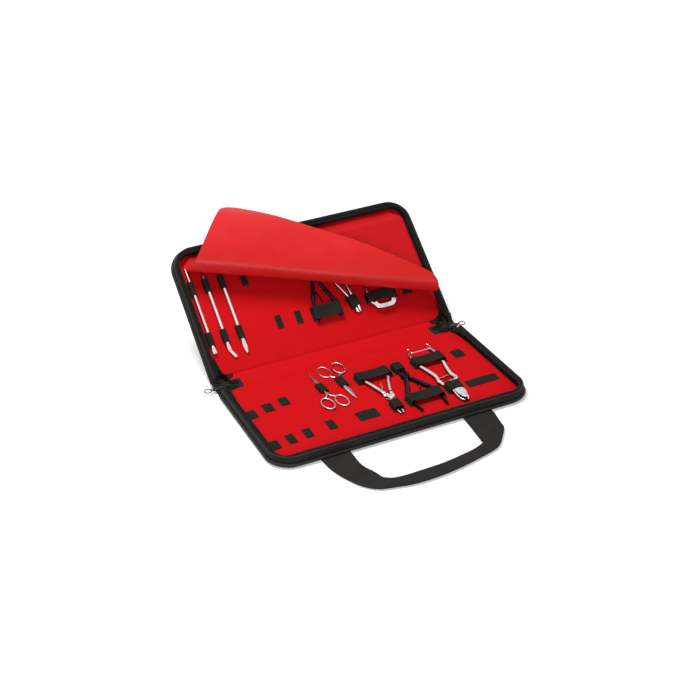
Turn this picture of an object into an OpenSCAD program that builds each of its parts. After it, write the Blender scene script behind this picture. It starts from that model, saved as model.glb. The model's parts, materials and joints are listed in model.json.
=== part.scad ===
// Manicure set case, opened flat with its lid standing up at an angle.
// A base half and a lid half are joined by a soft spine strip.
// The origin is the centre of the underside of the base half.
// The spine runs along X, and the carrying handle points to -Y.

/* [Case] */
// Width of the case along the spine
case_w = 320; // [310:5:360]
// Depth of each half, from its fold to its front edge
half_d = 177.5; // [175:2.5:200]
// Width of the spine strip, which sets the closed thickness
spine_w = 24; // [23:0.5:30]
// Outer radius of the two front corners of each half
corner_r = 30; // [22:1:34]
// Tilt of the open lid above the table
lid_tilt = 40.5; // [25:0.5:60]

/* [Build up] */
// Thickness of the outer fabric
skin_t = 1.2; // [0.8:0.1:1.4]
// Thickness of the stiffening board
board_t = 2.2; // [1.8:0.1:2.4]
// Thickness of the foam backed red lining
lining_t = 1.6; // [1.2:0.1:1.8]
// Distance from the outer edge to the red lining
lining_inset = 9.5; // [9:0.5:15]
// Height of the fold line above the table
fold_h = 1.5; // [1.5:0.1:2]
// Thickness of the padded side wall
wall_t = 2.6; // [1.8:0.1:3]
// Radius of the piping cord on the bottom edge
piping_r = 2.2; // [1.6:0.1:2.4]
// Width of the zip tape that folds inward
tape_w = 4; // [3.5:0.1:7]
// Width of the zip teeth
coil_w = 1.8; // [1.4:0.1:2.2]

/* [Zip pulls] */
// Radius of the ring pull to the middle of its wire
ring_r = 4.2; // [3:0.1:5]
// Radius of the ring pull wire
ring_wire_r = 0.6; // [0.4:0.05:0.8]
// Length of the zip slider
slider_l = 13; // [11:0.5:15]
// Width of the zip slider across its wings
slider_w = 7; // [5:0.5:8]

/* [Handle] */
// Width of the flat handle webbing
strap_w = 35; // [26:1:38]
// Width of the folded grip
grip_w = 20; // [16:1:26]
// Thickness of the webbing
strap_t = 2.2; // [1.4:0.1:2.4]
// Distance between the centres of the handle roots
handle_span = 174; // [150:2:200]
// Reach of the handle in front of the case
handle_reach = 88; // [75:1:110]

/* [Flap] */
// Half width of the soft cover flap
flap_hw = 145; // [130:1:146]
// Length of the flap from its sewn edge to its free edge
flap_l = 154; // [130:1:160]
// Thickness of the flap
flap_t = 0.8; // [0.6:0.1:1.2]
// Radius of the roll where the flap folds back
roll_r = 13; // [10:0.5:15]
// Tilt of the flap where it leaves the roll
roll_exit = 18; // [15:1:40]
// Radius of the droop of the folded back part
droop_r = 84; // [75:1:140]

/* [Tools] */
// Height of the jaws and handles of the nippers
nipper_t = 6.4; // [5:0.2:6.6]
// Radius of the pivot pins of the nippers
pivot_r = 1.6; // [1.2:0.1:2]
// Radial clearance of a pivot pin in its bore
pivot_fit = 0.05; // [0.02:0.01:0.1]
// Opening angle between the jaws of a nipper at rest
jaw_open = 4; // [3:0.5:8]
// Thickness of one scissor blade
blade_t = 1.4; // [1:0.1:1.8]
// Radius of the round shafts of the files
file_r = 2; // [1.6:0.1:2.4]
// Clearance between an elastic band and the tool in it
band_gap = 0.3; // [0.2:0.05:0.5]
// Thickness of the elastic
elastic_t = 0.9; // [0.6:0.1:1]

/* [Hidden] */
$fn = 48;

FABRIC = [0.16, 0.15, 0.15];
RED = [0.80, 0.05, 0.08];
CHROME = [0.82, 0.82, 0.84];
DARK_STEEL = [0.12, 0.12, 0.2];

// Height of the red lining and of the rim where the closed halves meet
panel_h = skin_t + board_t + lining_t;
mate_gap = 0.15;
rim_h = spine_w / 2 + fold_h - mate_gap;
// Gaps that the folds need
skin_gap = 0.2;
fold_gap = 3;
wall_start = fold_h + 5.5;
// The side wall stands inside the piping and bulges out over it
seat_gap = 0.05;
wall_foot = 1.4;
wall_top = 2.4;
wall_u = 2 * piping_r + seat_gap;
piping_top = skin_t + 2 * piping_r + 3 * seat_gap;
board_inset = wall_u + wall_t + 0.5;
tape_t = 0.8;
coil_drop = 1.4;
tape_u = wall_top + wall_t;
coil_u = tape_u + tape_w;

// Places a child given in a half's own frame: x along the fold, y away from it, z up
module in_base() {
  translate([0, half_d / 2, 0]) mirror([0, 1, 0]) children();
}
module in_lid() {
  translate([0, half_d / 2 + spine_w, fold_h]) rotate([lid_tilt, 0, 0]) translate([0, 0, -fold_h])
    children();
}
module in_spine() {
  translate([0, half_d / 2, 0]) children();
}

// Flat plate of one half with two round front corners
module half_plate(inset, start) {
  r = corner_r - inset;
  w = case_w - 2 * inset;
  far = half_d - inset;
  translate([-w / 2, start]) square([w, far - r - start]);
  translate([-w / 2 + r, start]) square([w - 2 * r, far - start]);
  for (s = [-1, 1]) translate([s * (w / 2 - r), far - r]) circle(r);
}
module plate_solid(inset, start, z, t) {
  translate([0, 0, z]) linear_extrude(t) half_plate(inset, start);
}

// Sweeps a profile (x: distance in from the edge, y: height) along three sides of a half
module edge_run(length) {
  translate([0, length, 0]) rotate([90, 0, 0]) linear_extrude(length) children();
}
module edge_corner() {
  rotate([0, 0, 90]) rotate_extrude(angle = 90, $fn = 96) translate([corner_r, 0]) mirror([1, 0]) children();
}
module edge_sweep(start) {
  for (m = [0, 1]) mirror([m, 0, 0]) {
    translate([-case_w / 2, start, 0]) edge_run(half_d - corner_r - start) children();
    translate([-case_w / 2 + corner_r, half_d - corner_r, 0]) edge_corner() children();
  }
  translate([-case_w / 2 + corner_r, half_d, 0]) rotate([0, 0, -90])
    edge_run(case_w - 2 * corner_r) children();
}

module half_skin() color(FABRIC) plate_solid(wall_foot, skin_gap, 0, skin_t);
module half_board() color("tan") plate_solid(board_inset, fold_gap, skin_t, board_t);
module half_lining() color(RED) plate_solid(lining_inset, fold_gap, skin_t + board_t, lining_t);
module half_wall() color(FABRIC) edge_sweep(wall_start)
  polygon([[wall_u, skin_t], [wall_u, piping_top], [wall_top, piping_top], [wall_top, rim_h - 1.2],
    [wall_top + 0.6, rim_h], [tape_u, rim_h], [tape_u, rim_h - 1.6], [wall_u + wall_t, skin_t]]);
module half_piping() color(FABRIC) edge_sweep(fold_gap)
  translate([piping_r, skin_t + seat_gap + piping_r]) circle(piping_r);
module half_tape() color(FABRIC) edge_sweep(wall_start)
  translate([tape_u, rim_h - tape_t - 0.1]) square([tape_w, tape_t]);
module half_coil() color([0.1, 0.1, 0.1]) edge_sweep(wall_start)
  translate([coil_u, rim_h - coil_drop]) square([coil_w, coil_drop]);

module base_skin() in_base() half_skin();
module base_board() in_base() half_board();
module base_lining() in_base() half_lining();
module base_wall() in_base() half_wall();
module base_piping() in_base() half_piping();
module base_zip_tape() in_base() half_tape();
module base_zip_coil() in_base() half_coil();
module lid_skin() in_lid() half_skin();
module lid_board() in_lid() half_board();
module lid_lining() in_lid() half_lining();
module lid_wall() in_lid() half_wall();
module lid_piping() in_lid() half_piping();
module lid_zip_tape() in_lid() half_tape();
module lid_zip_coil() in_lid() half_coil();

// Spine strip, thinner than the halves so that both folds can close
spine_board_t = 1.2;
spine_lining_t = 0.8;
spine_top = skin_t + spine_board_t + spine_lining_t;
spine_inset = 12;
spine_inner_w = case_w - 2 * spine_inset;
module spine_strip(width, z, t, gap) {
  in_spine() translate([-width / 2, gap, z]) cube([width, spine_w - 2 * gap, t]);
}
module spine_skin() color(FABRIC) spine_strip(case_w - 4, 0, skin_t, skin_gap);
module spine_board() color("tan") spine_strip(spine_inner_w, skin_t, spine_board_t, 1);
module spine_lining() color(RED) spine_strip(spine_inner_w, skin_t + spine_board_t, spine_lining_t, skin_gap);

// Low soft walls that close the ends of the spine, on both sides of the slider
gusset_t = 4;
gusset_h = fold_h + fold_gap - 0.3;
gusset_x = case_w / 2 - 8;
gusset_l = (spine_w - slider_w) / 2 - 1.9;
module spine_gussets() color(FABRIC) in_spine() for (s = [-1, 1], y = [1, spine_w - 1 - gusset_l])
  translate([s * gusset_x - gusset_t / 2, y, skin_t]) cube([gusset_t, gusset_l, gusset_h - skin_t]);

// Closed end of the zip, a flat stem on which the slider stands
stub_w = 6;
stub_l = 9;
stub_x = spine_inner_w / 2 + 0.2;
module zip_stubs() color(FABRIC) in_spine() for (s = [-1, 1])
  translate([s * (stub_x + stub_l / 2) - stub_l / 2, (spine_w - stub_w) / 2, skin_t])
    cube([stub_l, stub_w, spine_top - skin_t]);

// Fabric patches sewn over the zip ends
tab_l = 24;
tab_w = 19;
tab_t = 0.8;
module zip_end_tabs() color(FABRIC) in_spine() for (s = [-1, 1])
  translate([s * (spine_inner_w / 2 - tab_l / 2), spine_w / 2, spine_top]) linear_extrude(tab_t)
    polygon([[-s * tab_l / 2, -tab_w / 2 + 3], [s * tab_l / 2, -tab_w / 2], [s * tab_l / 2, tab_w / 2],
      [-s * tab_l / 2, tab_w / 2 - 1]]);

// Slider at the outer end of the closed zip, with a wire bail that holds the ring
slider_h = 2.6;
slider_x = gusset_x - 2.5;
slider_y = spine_w / 2;
slider_z = spine_top + seat_gap;
slider_end = slider_x + slider_l;
bail_r = 1.9;
bail_wire_r = 0.35;
bail_post = 1.2;
ring_z = slider_z + slider_h / 2;
// The wire of the ring rests in the middle of the bail, on the hinge line of the pull
ring_hinge_x = slider_end + ring_wire_r + 0.2;
function slider_side(w) = [[0, w * 0.64], [2.5, w], [slider_l - 3, w], [slider_l, w * 0.4]];
function slider_outline() = let (side = slider_side(slider_w / 2))
  concat([for (q = side) [q.x, -q.y]], [for (i = [3:-1:0]) side[i]]);
module slider() color([0.1, 0.1, 0.1]) {
  translate([slider_x, slider_y, slider_z]) linear_extrude(slider_h) polygon(slider_outline());
  translate([slider_end - 0.1, slider_y, ring_z]) rotate([90, 0, 0]) rotate([0, 0, -90])
    rotate_extrude(angle = 180) translate([bail_r, 0]) circle(bail_wire_r, $fn = 24);
  translate([slider_end - bail_post / 2, slider_y - bail_post / 2, ring_z - bail_r - 0.4])
    cube([bail_post / 2, bail_post, 2 * bail_r + 0.8]);
}
module zip_slider_left() in_spine() mirror([1, 0, 0]) slider();
module zip_slider_right() in_spine() slider();

// Ring pull that hangs in the bail of its slider
module pull() color(CHROME) translate([ring_hinge_x + ring_r, slider_y, ring_z])
  rotate_extrude($fn = 64) translate([ring_r, 0]) circle(ring_wire_r, $fn = 24);
module zip_pull_left() in_spine() mirror([1, 0, 0]) pull();
module zip_pull_right() in_spine() pull();

// Sewn tabs under the front edge and the soft carrying handle
anchor_z = 0.4;
anchor_d = 1.3;
strap_h = 2.5;
module handle_anchors() color(FABRIC) for (s = [-1, 1])
  translate([s * handle_span / 2 - strap_w / 2, -half_d / 2 + wall_foot - anchor_d - 1.2, anchor_z])
    cube([strap_w, anchor_d + 1, 0.8]);

strap_y = -half_d / 2 - 1.5;
bend_r = 34;
grip_y = -half_d / 2 - handle_reach + grip_w / 2;
leg_l = handle_reach - grip_w / 2 - bend_r - 1.5;
grip_half = handle_span / 2 - bend_r;
grip_t = 5.2;
// One bend of the handle, from the flat leg to the folded grip, as an eased run of slices
bend_steps = 12;
function ease(a) = a * a * (3 - 2 * a);
function bend_ring(i) = let (
    a = i / bend_steps, e = ease(a), ang = 90 * a,
    w = strap_w + (grip_w - strap_w) * e, t = strap_t + (grip_t - strap_t) * e,
    cx = -bend_r * cos(ang), cy = -bend_r * sin(ang))
  [for (q = [[-1, 0], [1, 0], [1, 1], [-1, 1]])
    [cx + q.x * w / 2 * cos(ang), cy + q.x * w / 2 * sin(ang), q.y * t]];
module handle_bend() {
  pts = [for (i = [0:bend_steps]) each bend_ring(i)];
  sides = [for (i = [0:bend_steps - 1], j = [0:3]) each
    let (a = 4 * i + j, b = 4 * i + (j + 1) % 4) [[b + 4, b, a], [a + 4, b + 4, a]]];
  last = 4 * bend_steps;
  polyhedron(points = pts, faces = concat(sides, [[1, 2, 3], [0, 1, 3]],
    [[last + 2, last + 1, last], [last + 3, last + 2, last]]));
}
module handle_strap() color(FABRIC) translate([0, 0, strap_h - strap_t]) {
  for (m = [0, 1]) mirror([m, 0, 0]) {
    translate([-handle_span / 2 - strap_w / 2, strap_y - leg_l, 0]) cube([strap_w, leg_l, strap_t]);
    translate([-handle_span / 2 + bend_r, strap_y - leg_l, 0]) handle_bend();
  }
  translate([-grip_half - 0.01, grip_y - grip_w / 2, 0]) cube([2 * grip_half + 0.02, grip_w, grip_t]);
}

// Soft flap: a flat sheet sewn at its far edge and rolled back over itself on a slanted line
flap_edge_gap = 1.1;
flap_sewn_v = half_d - coil_u - coil_w - flap_edge_gap;
flap_low_h = panel_h + 1.3;
flap_over_tools = rim_h - 0.9;
// The two ends of the front of the roll, in the lid's frame
roll_left_v = flap_sewn_v - 23.6;
roll_right_v = flap_sewn_v - 126.6;
roll_hw = flap_hw;
flap_corner_r = 24;
flap_sewn_cut = 14;
roll_len = norm([2 * roll_hw, roll_right_v - roll_left_v]);
fold_dir = [2 * roll_hw, roll_right_v - roll_left_v] / roll_len;
fold_up = [-fold_dir.y, fold_dir.x];
fold_start = [-roll_hw, roll_left_v] + fold_up * roll_r;
roll_axis_h = flap_over_tools + roll_r;
roll_arc = roll_r * (180 - roll_exit) * PI / 180;
seam_rise_l = 18;
function flat_outline() = concat(
  [[-flap_hw + flap_sewn_cut, flap_sewn_v], [-flap_hw, flap_sewn_v - flap_sewn_cut]],
  [for (a = [180:15:270]) [-flap_hw + flap_corner_r + flap_corner_r * cos(a),
    flap_sewn_v - flap_l + flap_corner_r + flap_corner_r * sin(a)]],
  [for (a = [270:15:360]) [flap_hw - flap_corner_r + flap_corner_r * cos(a),
    flap_sewn_v - flap_l + flap_corner_r + flap_corner_r * sin(a)]],
  [[flap_hw, flap_sewn_v - flap_sewn_cut], [flap_hw - flap_sewn_cut, flap_sewn_v]]);
// Outline in the fold's frame: along the roll, and past the start of the roll
fold_outline = [for (q = flat_outline()) let (r = q - fold_start) [r * fold_dir, -(r * fold_up)]];
function crossings(k) = [for (i = [0:len(fold_outline) - 1])
  let (a = fold_outline[i], b = fold_outline[(i + 1) % len(fold_outline)])
  if ((a.y - k) * (b.y - k) <= 0 && a.y != b.y) a.x + (b.x - a.x) * (k - a.y) / (b.y - a.y)];
fold_k = [for (q = fold_outline) q.y];
k_low = min(fold_k) + 0.4;
k_high = max(fold_k) - 0.4;
function seam_rise(s) = let (a = min(1, max(0, s / seam_rise_l)))
  flap_low_h + (flap_over_tools - flap_low_h) * a;
// Where a point of the sheet lies: k past the roll's start, t along it, off out of the sheet
function flap_point(k, t, off) = let (
    turn = k / roll_r * 180 / PI, w = k - roll_arc, head = roll_exit - w / droop_r * 180 / PI,
    flat = fold_start + fold_dir * t - fold_up * k,
    low = [-k, seam_rise(flap_sewn_v - flat.y) - off],
    roll = [-sin(turn) * (roll_r + off), roll_axis_h - cos(turn) * (roll_r + off)],
    end = [-sin(roll_exit) * roll_r, roll_axis_h + cos(roll_exit) * roll_r],
    free = end + [droop_r * (sin(roll_exit) - sin(head)) - off * sin(head),
      droop_r * (cos(head) - cos(roll_exit)) + off * cos(head)],
    c = k <= 0 ? low : (k < roll_arc ? roll : free),
    base = fold_start + fold_dir * t + fold_up * c.x)
  [base.x, base.y, c.y];
sheet_cols = 18;
function sheet_row(k, off) = let (x = crossings(k), t0 = min(x), t1 = max(x))
  [for (i = [0:sheet_cols]) flap_point(k, t0 + (t1 - t0) * i / sheet_cols, off)];
module sheet(rows) {
  n = sheet_cols + 1;
  last = len(rows) - 1;
  half = n * len(rows);
  pts = [for (off = [flap_t / 2, -flap_t / 2], k = rows) each sheet_row(k, off)];
  top = [for (j = [0:last - 1], i = [0:sheet_cols - 1]) each
    let (a = j * n + i) [[a, a + 1, a + n + 1], [a, a + n + 1, a + n]]];
  under = [for (f = top) [f[2] + half, f[1] + half, f[0] + half]];
  ends = [for (j = [0, last], i = [0:sheet_cols - 1]) each
    let (a = j * n + i, b = a + 1, f = [[a, a + half, b + half], [a, b + half, b]])
    j == 0 ? f : [for (q = f) [q[2], q[1], q[0]]]];
  flanks = [for (i = [0, sheet_cols], j = [0:last - 1]) each
    let (a = j * n + i, b = a + n, f = [[a, b, b + half], [a, b + half, a + half]])
    i == 0 ? f : [for (q = f) [q[2], q[1], q[0]]]];
  polyhedron(points = pts, faces = concat(top, under, ends, flanks));
}
low_rows = 9;
high_rows = 20;
module flap_sewn_part() color(RED) in_lid()
  sheet([for (j = [0:low_rows]) k_low * (1 - j / low_rows)]);
module flap_free_part() color([0.85, 0.15, 0.14]) in_lid()
  sheet(concat([for (j = [0:7]) 0.05 + roll_arc * j / 7],
    [for (j = [1:high_rows - 7]) roll_arc + (k_high - roll_arc) * j / (high_rows - 7)]));
seam_t = flap_low_h - panel_h - flap_t / 2 - 0.1;
module flap_seam() color(RED) in_lid()
  translate([-flap_hw + flap_sewn_cut, flap_sewn_v - 5, panel_h])
    cube([2 * (flap_hw - flap_sewn_cut), 6, seam_t]);

// Empty elastic loops, sewn flat on the lining: centre x, centre y, width, length
base_loops = [[-141, 62, 11, 17], [-119.5, 57, 12, 17], [-98.5, 53, 11, 17], [-141, 132, 10, 17],
  [-121, 129, 10, 18], [-100, 127, 9.5, 18], [-70.5, 124, 9.5, 18], [-26, 124, 25, 18],
  [126.5, 53, 14, 17], [122, 121, 40, 14]];
lid_loops = [[-77.5, 119, 8, 15], [-54, 56.5, 8, 17], [-28.5, 56, 8, 17], [118, 55, 13, 10]];
loop_rise = 1.3;
module flat_loop(c) {
  w = c[2];
  translate([c[0], c[1] + c[3] / 2, panel_h]) rotate([90, 0, 0]) linear_extrude(c[3])
    polygon([[-w / 2, 0], [-w / 2 + 0.6, loop_rise * 0.7], [-w / 5, loop_rise], [w / 5, loop_rise],
      [w / 2 - 0.6, loop_rise * 0.7], [w / 2, 0]]);
}
module base_tool_loops() color(FABRIC) in_base() for (c = base_loops) flat_loop(c);
module lid_tool_loops() color(FABRIC) in_lid() for (c = lid_loops) flat_loop(c);

// Elastic band arched over a tool: centre x, start y, end y, inside width, inside height, turn
band_flare = 1.6;
module arch_band(c) {
  w = c[3] / 2 + band_gap;
  h = c[4] + band_gap;
  o = w + elastic_t;
  mid = (c[1] + c[2]) / 2;
  translate([c[0], mid, panel_h]) rotate([0, 0, c[5]]) translate([0, (c[2] - c[1]) / 2, 0])
    rotate([90, 0, 0]) linear_extrude(c[2] - c[1]) difference() {
      polygon([[-o - band_flare, 0], [-o - band_flare, elastic_t], [-o, elastic_t], [-o, h * 0.7],
        [-o + 1.4, h + elastic_t], [o - 1.4, h + elastic_t], [o, h * 0.7], [o, elastic_t],
        [o + band_flare, elastic_t], [o + band_flare, 0]]);
      polygon([[-w, -1], [-w, h * 0.7], [-w + 0.6, h], [w - 0.6, h], [w, h * 0.7], [w, -1]]);
    }
}

// Outline of a flat bar of even width along a list of points, with mitred bends and a round far end
function heading(a, b) = (b - a) / norm(b - a);
function across(d) = [-d.y, d.x];
function bar_side(pts, r) = [for (i = [0:len(pts) - 1]) let (
    d0 = heading(pts[max(i, 1) - 1], pts[max(i, 1)]),
    d1 = i < len(pts) - 1 ? heading(pts[i], pts[i + 1]) : d0,
    m = across(d0) + across(d1))
  pts[i] + r * m * 2 / (m * m)];
function bar_end(pts, r) = let (last = len(pts) - 1, d = heading(pts[last - 1], pts[last]))
  [for (a = [30:30:150]) pts[last] + r * (across(d) * cos(a) + d * sin(a))];
module bar(pts, w) {
  right = bar_side(pts, -w / 2);
  polygon(concat(bar_side(pts, w / 2), bar_end(pts, w / 2), [for (i = [len(pts) - 1:-1:0]) right[i]]));
}

// One half of a nipper with its pivot at the origin, jaws to +Y and handles to -Y.
// The half has its handle on the left and its jaw on the right, closed on the centre line.
// layer is -1 for the half that lies under the lap of the joint, and 1 for the one over it.
lap_fit = 0.05;
module nipper_half(handle, handle_w, jaw, lap_r, layer) {
  lift = layer < 0 ? nipper_t / 2 - lap_fit : -1;
  difference() {
    union() {
      linear_extrude(nipper_t) rotate(jaw_open / 2) bar(concat([[0, 0]], handle), handle_w);
      linear_extrude(nipper_t) polygon(jaw);
      cylinder(r = lap_r * 0.62, h = nipper_t);
    }
    translate([0, 0, lift]) cylinder(r = lap_r, h = nipper_t / 2 + 1 + lap_fit);
    translate([0, 0, -1]) cylinder(r = pivot_r + pivot_fit, h = nipper_t + 2);
  }
}
// Jaw outline of a given length and half width, flat along the centre line
jaw_play = 0.06;
function jaw_shape(l, w, tip) = [[jaw_play, -1], [w * 0.9, -1], [w, l * 0.3], [w * 0.85, l * 0.7],
  [tip, l], [jaw_play, l]];
module fixed_half(t) rotate([0, 0, -jaw_open / 2]) nipper_half(t[3], t[4], t[5], t[6], -1);
module moving_half(t) rotate([0, 0, jaw_open / 2]) mirror([1, 0, 0]) nipper_half(t[3], t[4], t[5], t[6], 1);
module place_tool(t) translate([t[0], t[1], panel_h]) rotate([0, 0, t[2]]) children();
module pivot_pin(t, length) place_tool(t) cylinder(r = pivot_r, h = length);

// Each tool: pivot x, pivot y, turn, handle points, handle width, jaw, lap radius
cuticle_nipper = [10.8, 107, 4, [[-3.2, -7], [-5.4, -16], [-10, -32], [-15.6, -48], [-16.4, -60]], 4.4,
  jaw_shape(36, 3.6, 1.6), 8];
dark_nipper = [46.4, 73, 180, [[-4, -10], [-9, -23], [-15.8, -38], [-17.4, -56], [-15.6, -76]], 5,
  jaw_shape(34, 4.4, 1.2), 9];
toenail_nipper = [85, 117, 1,
  [[-7.5, -7], [-11, -12], [-9.4, -24], [-12, -42], [-15, -57], [-15.4, -80], [-12.4, -90]], 4.8,
  jaw_shape(36, 6.6, 2.6), 11];
violet_nipper = [6.4, 104, 2, [[-3.4, -9], [-7.6, -22], [-13.6, -40], [-14.4, -62]], 4.4,
  jaw_shape(33, 4.8, 1.4), 9];
corner_nipper = [44.4, 57.2, 193, [[-2.4, -8], [-4.4, -20], [-7, -36], [-7.6, -56]], 3.2,
  jaw_shape(15.6, 3.4, 1.4), 7];
heavy_nipper = [82, 121, 0, [[-7, -7], [-9.6, -14], [-10.4, -30], [-14.6, -50], [-15.4, -66], [-13, -75]], 5,
  jaw_shape(22, 6.2, 2.4), 11];

module cuticle_nipper_fixed() color(CHROME) in_base() place_tool(cuticle_nipper) fixed_half(cuticle_nipper);
module cuticle_nipper_moving() color(CHROME) in_base() place_tool(cuticle_nipper) moving_half(cuticle_nipper);
module dark_nipper_fixed() color(DARK_STEEL) in_base() place_tool(dark_nipper) fixed_half(dark_nipper);
module dark_nipper_moving() color(DARK_STEEL) in_base() place_tool(dark_nipper) moving_half(dark_nipper);
// Leaf shaped shield riveted on the fixed jaw, clear of the moving one
shield_t = 0.8;
shield_pin = [2, 16.6, 1.2];
module toenail_shield() {
  translate([0, 0, nipper_t + lap_fit]) linear_extrude(shield_t)
    polygon([[-5.6, 14], [-6, 19], [-5, 28], [0, 36.5], [5, 28], [6, 19], [5.6, 14]]);
  translate([shield_pin.x, shield_pin.y, nipper_t - 1]) cylinder(r = shield_pin.z, h = 1.5 + shield_t, $fn = 24);
}
module toenail_nipper_fixed() color(CHROME) in_base() place_tool(toenail_nipper) {
  fixed_half(toenail_nipper);
  toenail_shield();
}
module toenail_nipper_moving() color(CHROME) in_base() place_tool(toenail_nipper) moving_half(toenail_nipper);
module violet_nipper_fixed() color(DARK_STEEL) in_lid() place_tool(violet_nipper) fixed_half(violet_nipper);
module violet_nipper_moving() color(DARK_STEEL) in_lid() place_tool(violet_nipper) moving_half(violet_nipper);
module corner_nipper_fixed() color(CHROME) in_lid() place_tool(corner_nipper) fixed_half(corner_nipper);
module corner_nipper_moving() color(CHROME) in_lid() place_tool(corner_nipper) moving_half(corner_nipper);
module heavy_nipper_fixed() color(CHROME) in_lid() place_tool(heavy_nipper) fixed_half(heavy_nipper);
module heavy_nipper_moving() color(CHROME) in_lid() place_tool(heavy_nipper) moving_half(heavy_nipper);

// Leaf spring that starts on the inner side of one handle and bends towards the other
spring_t = 0.5;
spring_h = 3;
spring_lift = (nipper_t - spring_h) / 2;
module leaf_spring(t, reach, gap) place_tool(t) translate([0, 0, spring_lift])
  linear_extrude(spring_h) difference() {
    rotate(-jaw_open / 2) bar([for (q = reach) q + [gap, 0]], spring_t);
    bar(concat([[0, 0]], t[3]), t[4] + 2 * seat_gap);
  }
module base_nipper_springs() color(CHROME) in_base() {
  leaf_spring(cuticle_nipper, [[-5.4, -16], [-1.8, -30]], 2.5);
  leaf_spring(dark_nipper, [[-9, -23], [-3, -40]], 3.0);
  leaf_spring(toenail_nipper, [[-9.4, -24], [-2, -20]], 2.6);
}
module lid_nipper_springs() color(CHROME) in_lid() {
  leaf_spring(violet_nipper, [[-7.6, -22], [-2.8, -36]], 2.6);
  leaf_spring(corner_nipper, [[-5, -20], [-1.6, -30]], 2.0);
  leaf_spring(heavy_nipper, [[-10.4, -30], [-3, -34]], 2.8);
}

// Wire catch that holds the handle ends together
catch_r = 0.7;
module wire_catch(t, y, half_w, drop) place_tool(t) translate([0, y, nipper_t + catch_r + 0.05]) {
  rotate([0, 90, 0]) translate([0, 0, -half_w]) cylinder(r = catch_r, h = 2 * half_w, $fn = 24);
  for (s = [-1, 1]) translate([s * half_w, 0, 0]) {
    sphere(catch_r, $fn = 24);
    rotate([90, 0, 0]) cylinder(r = catch_r, h = drop, $fn = 24);
  }
}
module toenail_nipper_catch() color(CHROME) in_base() wire_catch(toenail_nipper, -80.5, 13, 9.5);

// Flat strap over the handle ends of the heavy nipper
catch_strap_w = 4.4;
catch_strap_t = 1.2;
catch_strap_end = -71.4;
module heavy_nipper_catch() color(CHROME) in_lid() place_tool(heavy_nipper)
  translate([0, 0, nipper_t + lap_fit]) linear_extrude(catch_strap_t) difference() {
    bar([[-14.4, -68], [-11.6, -75.5], [-7, -78.6], [7, -78.6], [11.6, -75.5], [14.6, -68]], catch_strap_w);
    translate([-20, catch_strap_end]) square([40, 10]);
  }

// Pivot pins of the nippers and scissors
module base_tool_pivots() color(CHROME) in_base() {
  for (t = [cuticle_nipper, dark_nipper, toenail_nipper]) pivot_pin(t, nipper_t);
  for (t = [scissors_curved, scissors_fine]) pivot_pin(t, 2 * blade_t + lap_fit);
}
module lid_tool_pivots() color(CHROME) in_lid()
  for (t = [violet_nipper, corner_nipper, heavy_nipper]) pivot_pin(t, nipper_t);

// Scissors: pivot x, y, turn, ring centre, ring half width, ring half length, shank points, blade
ring_bar_r = 0.9;
scissors_curved = [-23.2, 50, 0, [-9.1, -32.8], 7.9, 13.6, [[-2.2, -16], [-0.6, -8], [0, 0]], 38, 6.4];
scissors_fine = [-49.4, 49, 178, [-8.9, -35], 7.6, 13, [[-2.2, -18], [-0.6, -9], [0, 0]], 38, 3];
module finger_ring(t) {
  w = t[4] - ring_bar_r;
  l = t[5] - t[4];
  translate([t[3].x, t[3].y, ring_bar_r]) {
    for (s = [-1, 1]) {
      translate([0, s * l, 0]) rotate([0, 0, s > 0 ? 0 : 180])
        rotate_extrude(angle = 180) translate([w, 0]) circle(ring_bar_r, $fn = 24);
      translate([s * w, -l, 0]) rotate([-90, 0, 0]) cylinder(r = ring_bar_r, h = 2 * l, $fn = 24);
    }
  }
}
// Blade outline of a given length and width, with its cutting edge just past the centre line
function blade_shape(l, w) = [[-1.2, 0], [3, 0], [w * 0.56, l * 0.4], [0.4, l], [-0.6, l], [-1.2, l * 0.4]];
boss_r = 3.4;
shank_w = 2.3;
module scissor_half(t) {
  difference() {
    union() {
      linear_extrude(blade_t) bar(concat([t[3] + [0.6, t[5] - ring_bar_r]], t[6]), shank_w);
      cylinder(r = boss_r, h = blade_t);
      linear_extrude(blade_t) polygon(blade_shape(t[7], t[8]));
      finger_ring(t);
    }
    translate([0, 0, -1]) cylinder(r = pivot_r + pivot_fit, h = blade_t + 2);
  }
}
module scissor_lower(t) color(CHROME) place_tool(t) scissor_half(t);
module scissor_upper(t) color(CHROME) place_tool(t)
  translate([0, 0, 2 * blade_t + lap_fit]) mirror([0, 0, 1]) mirror([1, 0, 0]) scissor_half(t);
module scissors_curved_fixed() in_base() scissor_lower(scissors_curved);
module scissors_curved_moving() in_base() scissor_upper(scissors_curved);
module scissors_fine_fixed() in_base() scissor_lower(scissors_fine);
module scissors_fine_moving() in_base() scissor_upper(scissors_fine);

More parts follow.
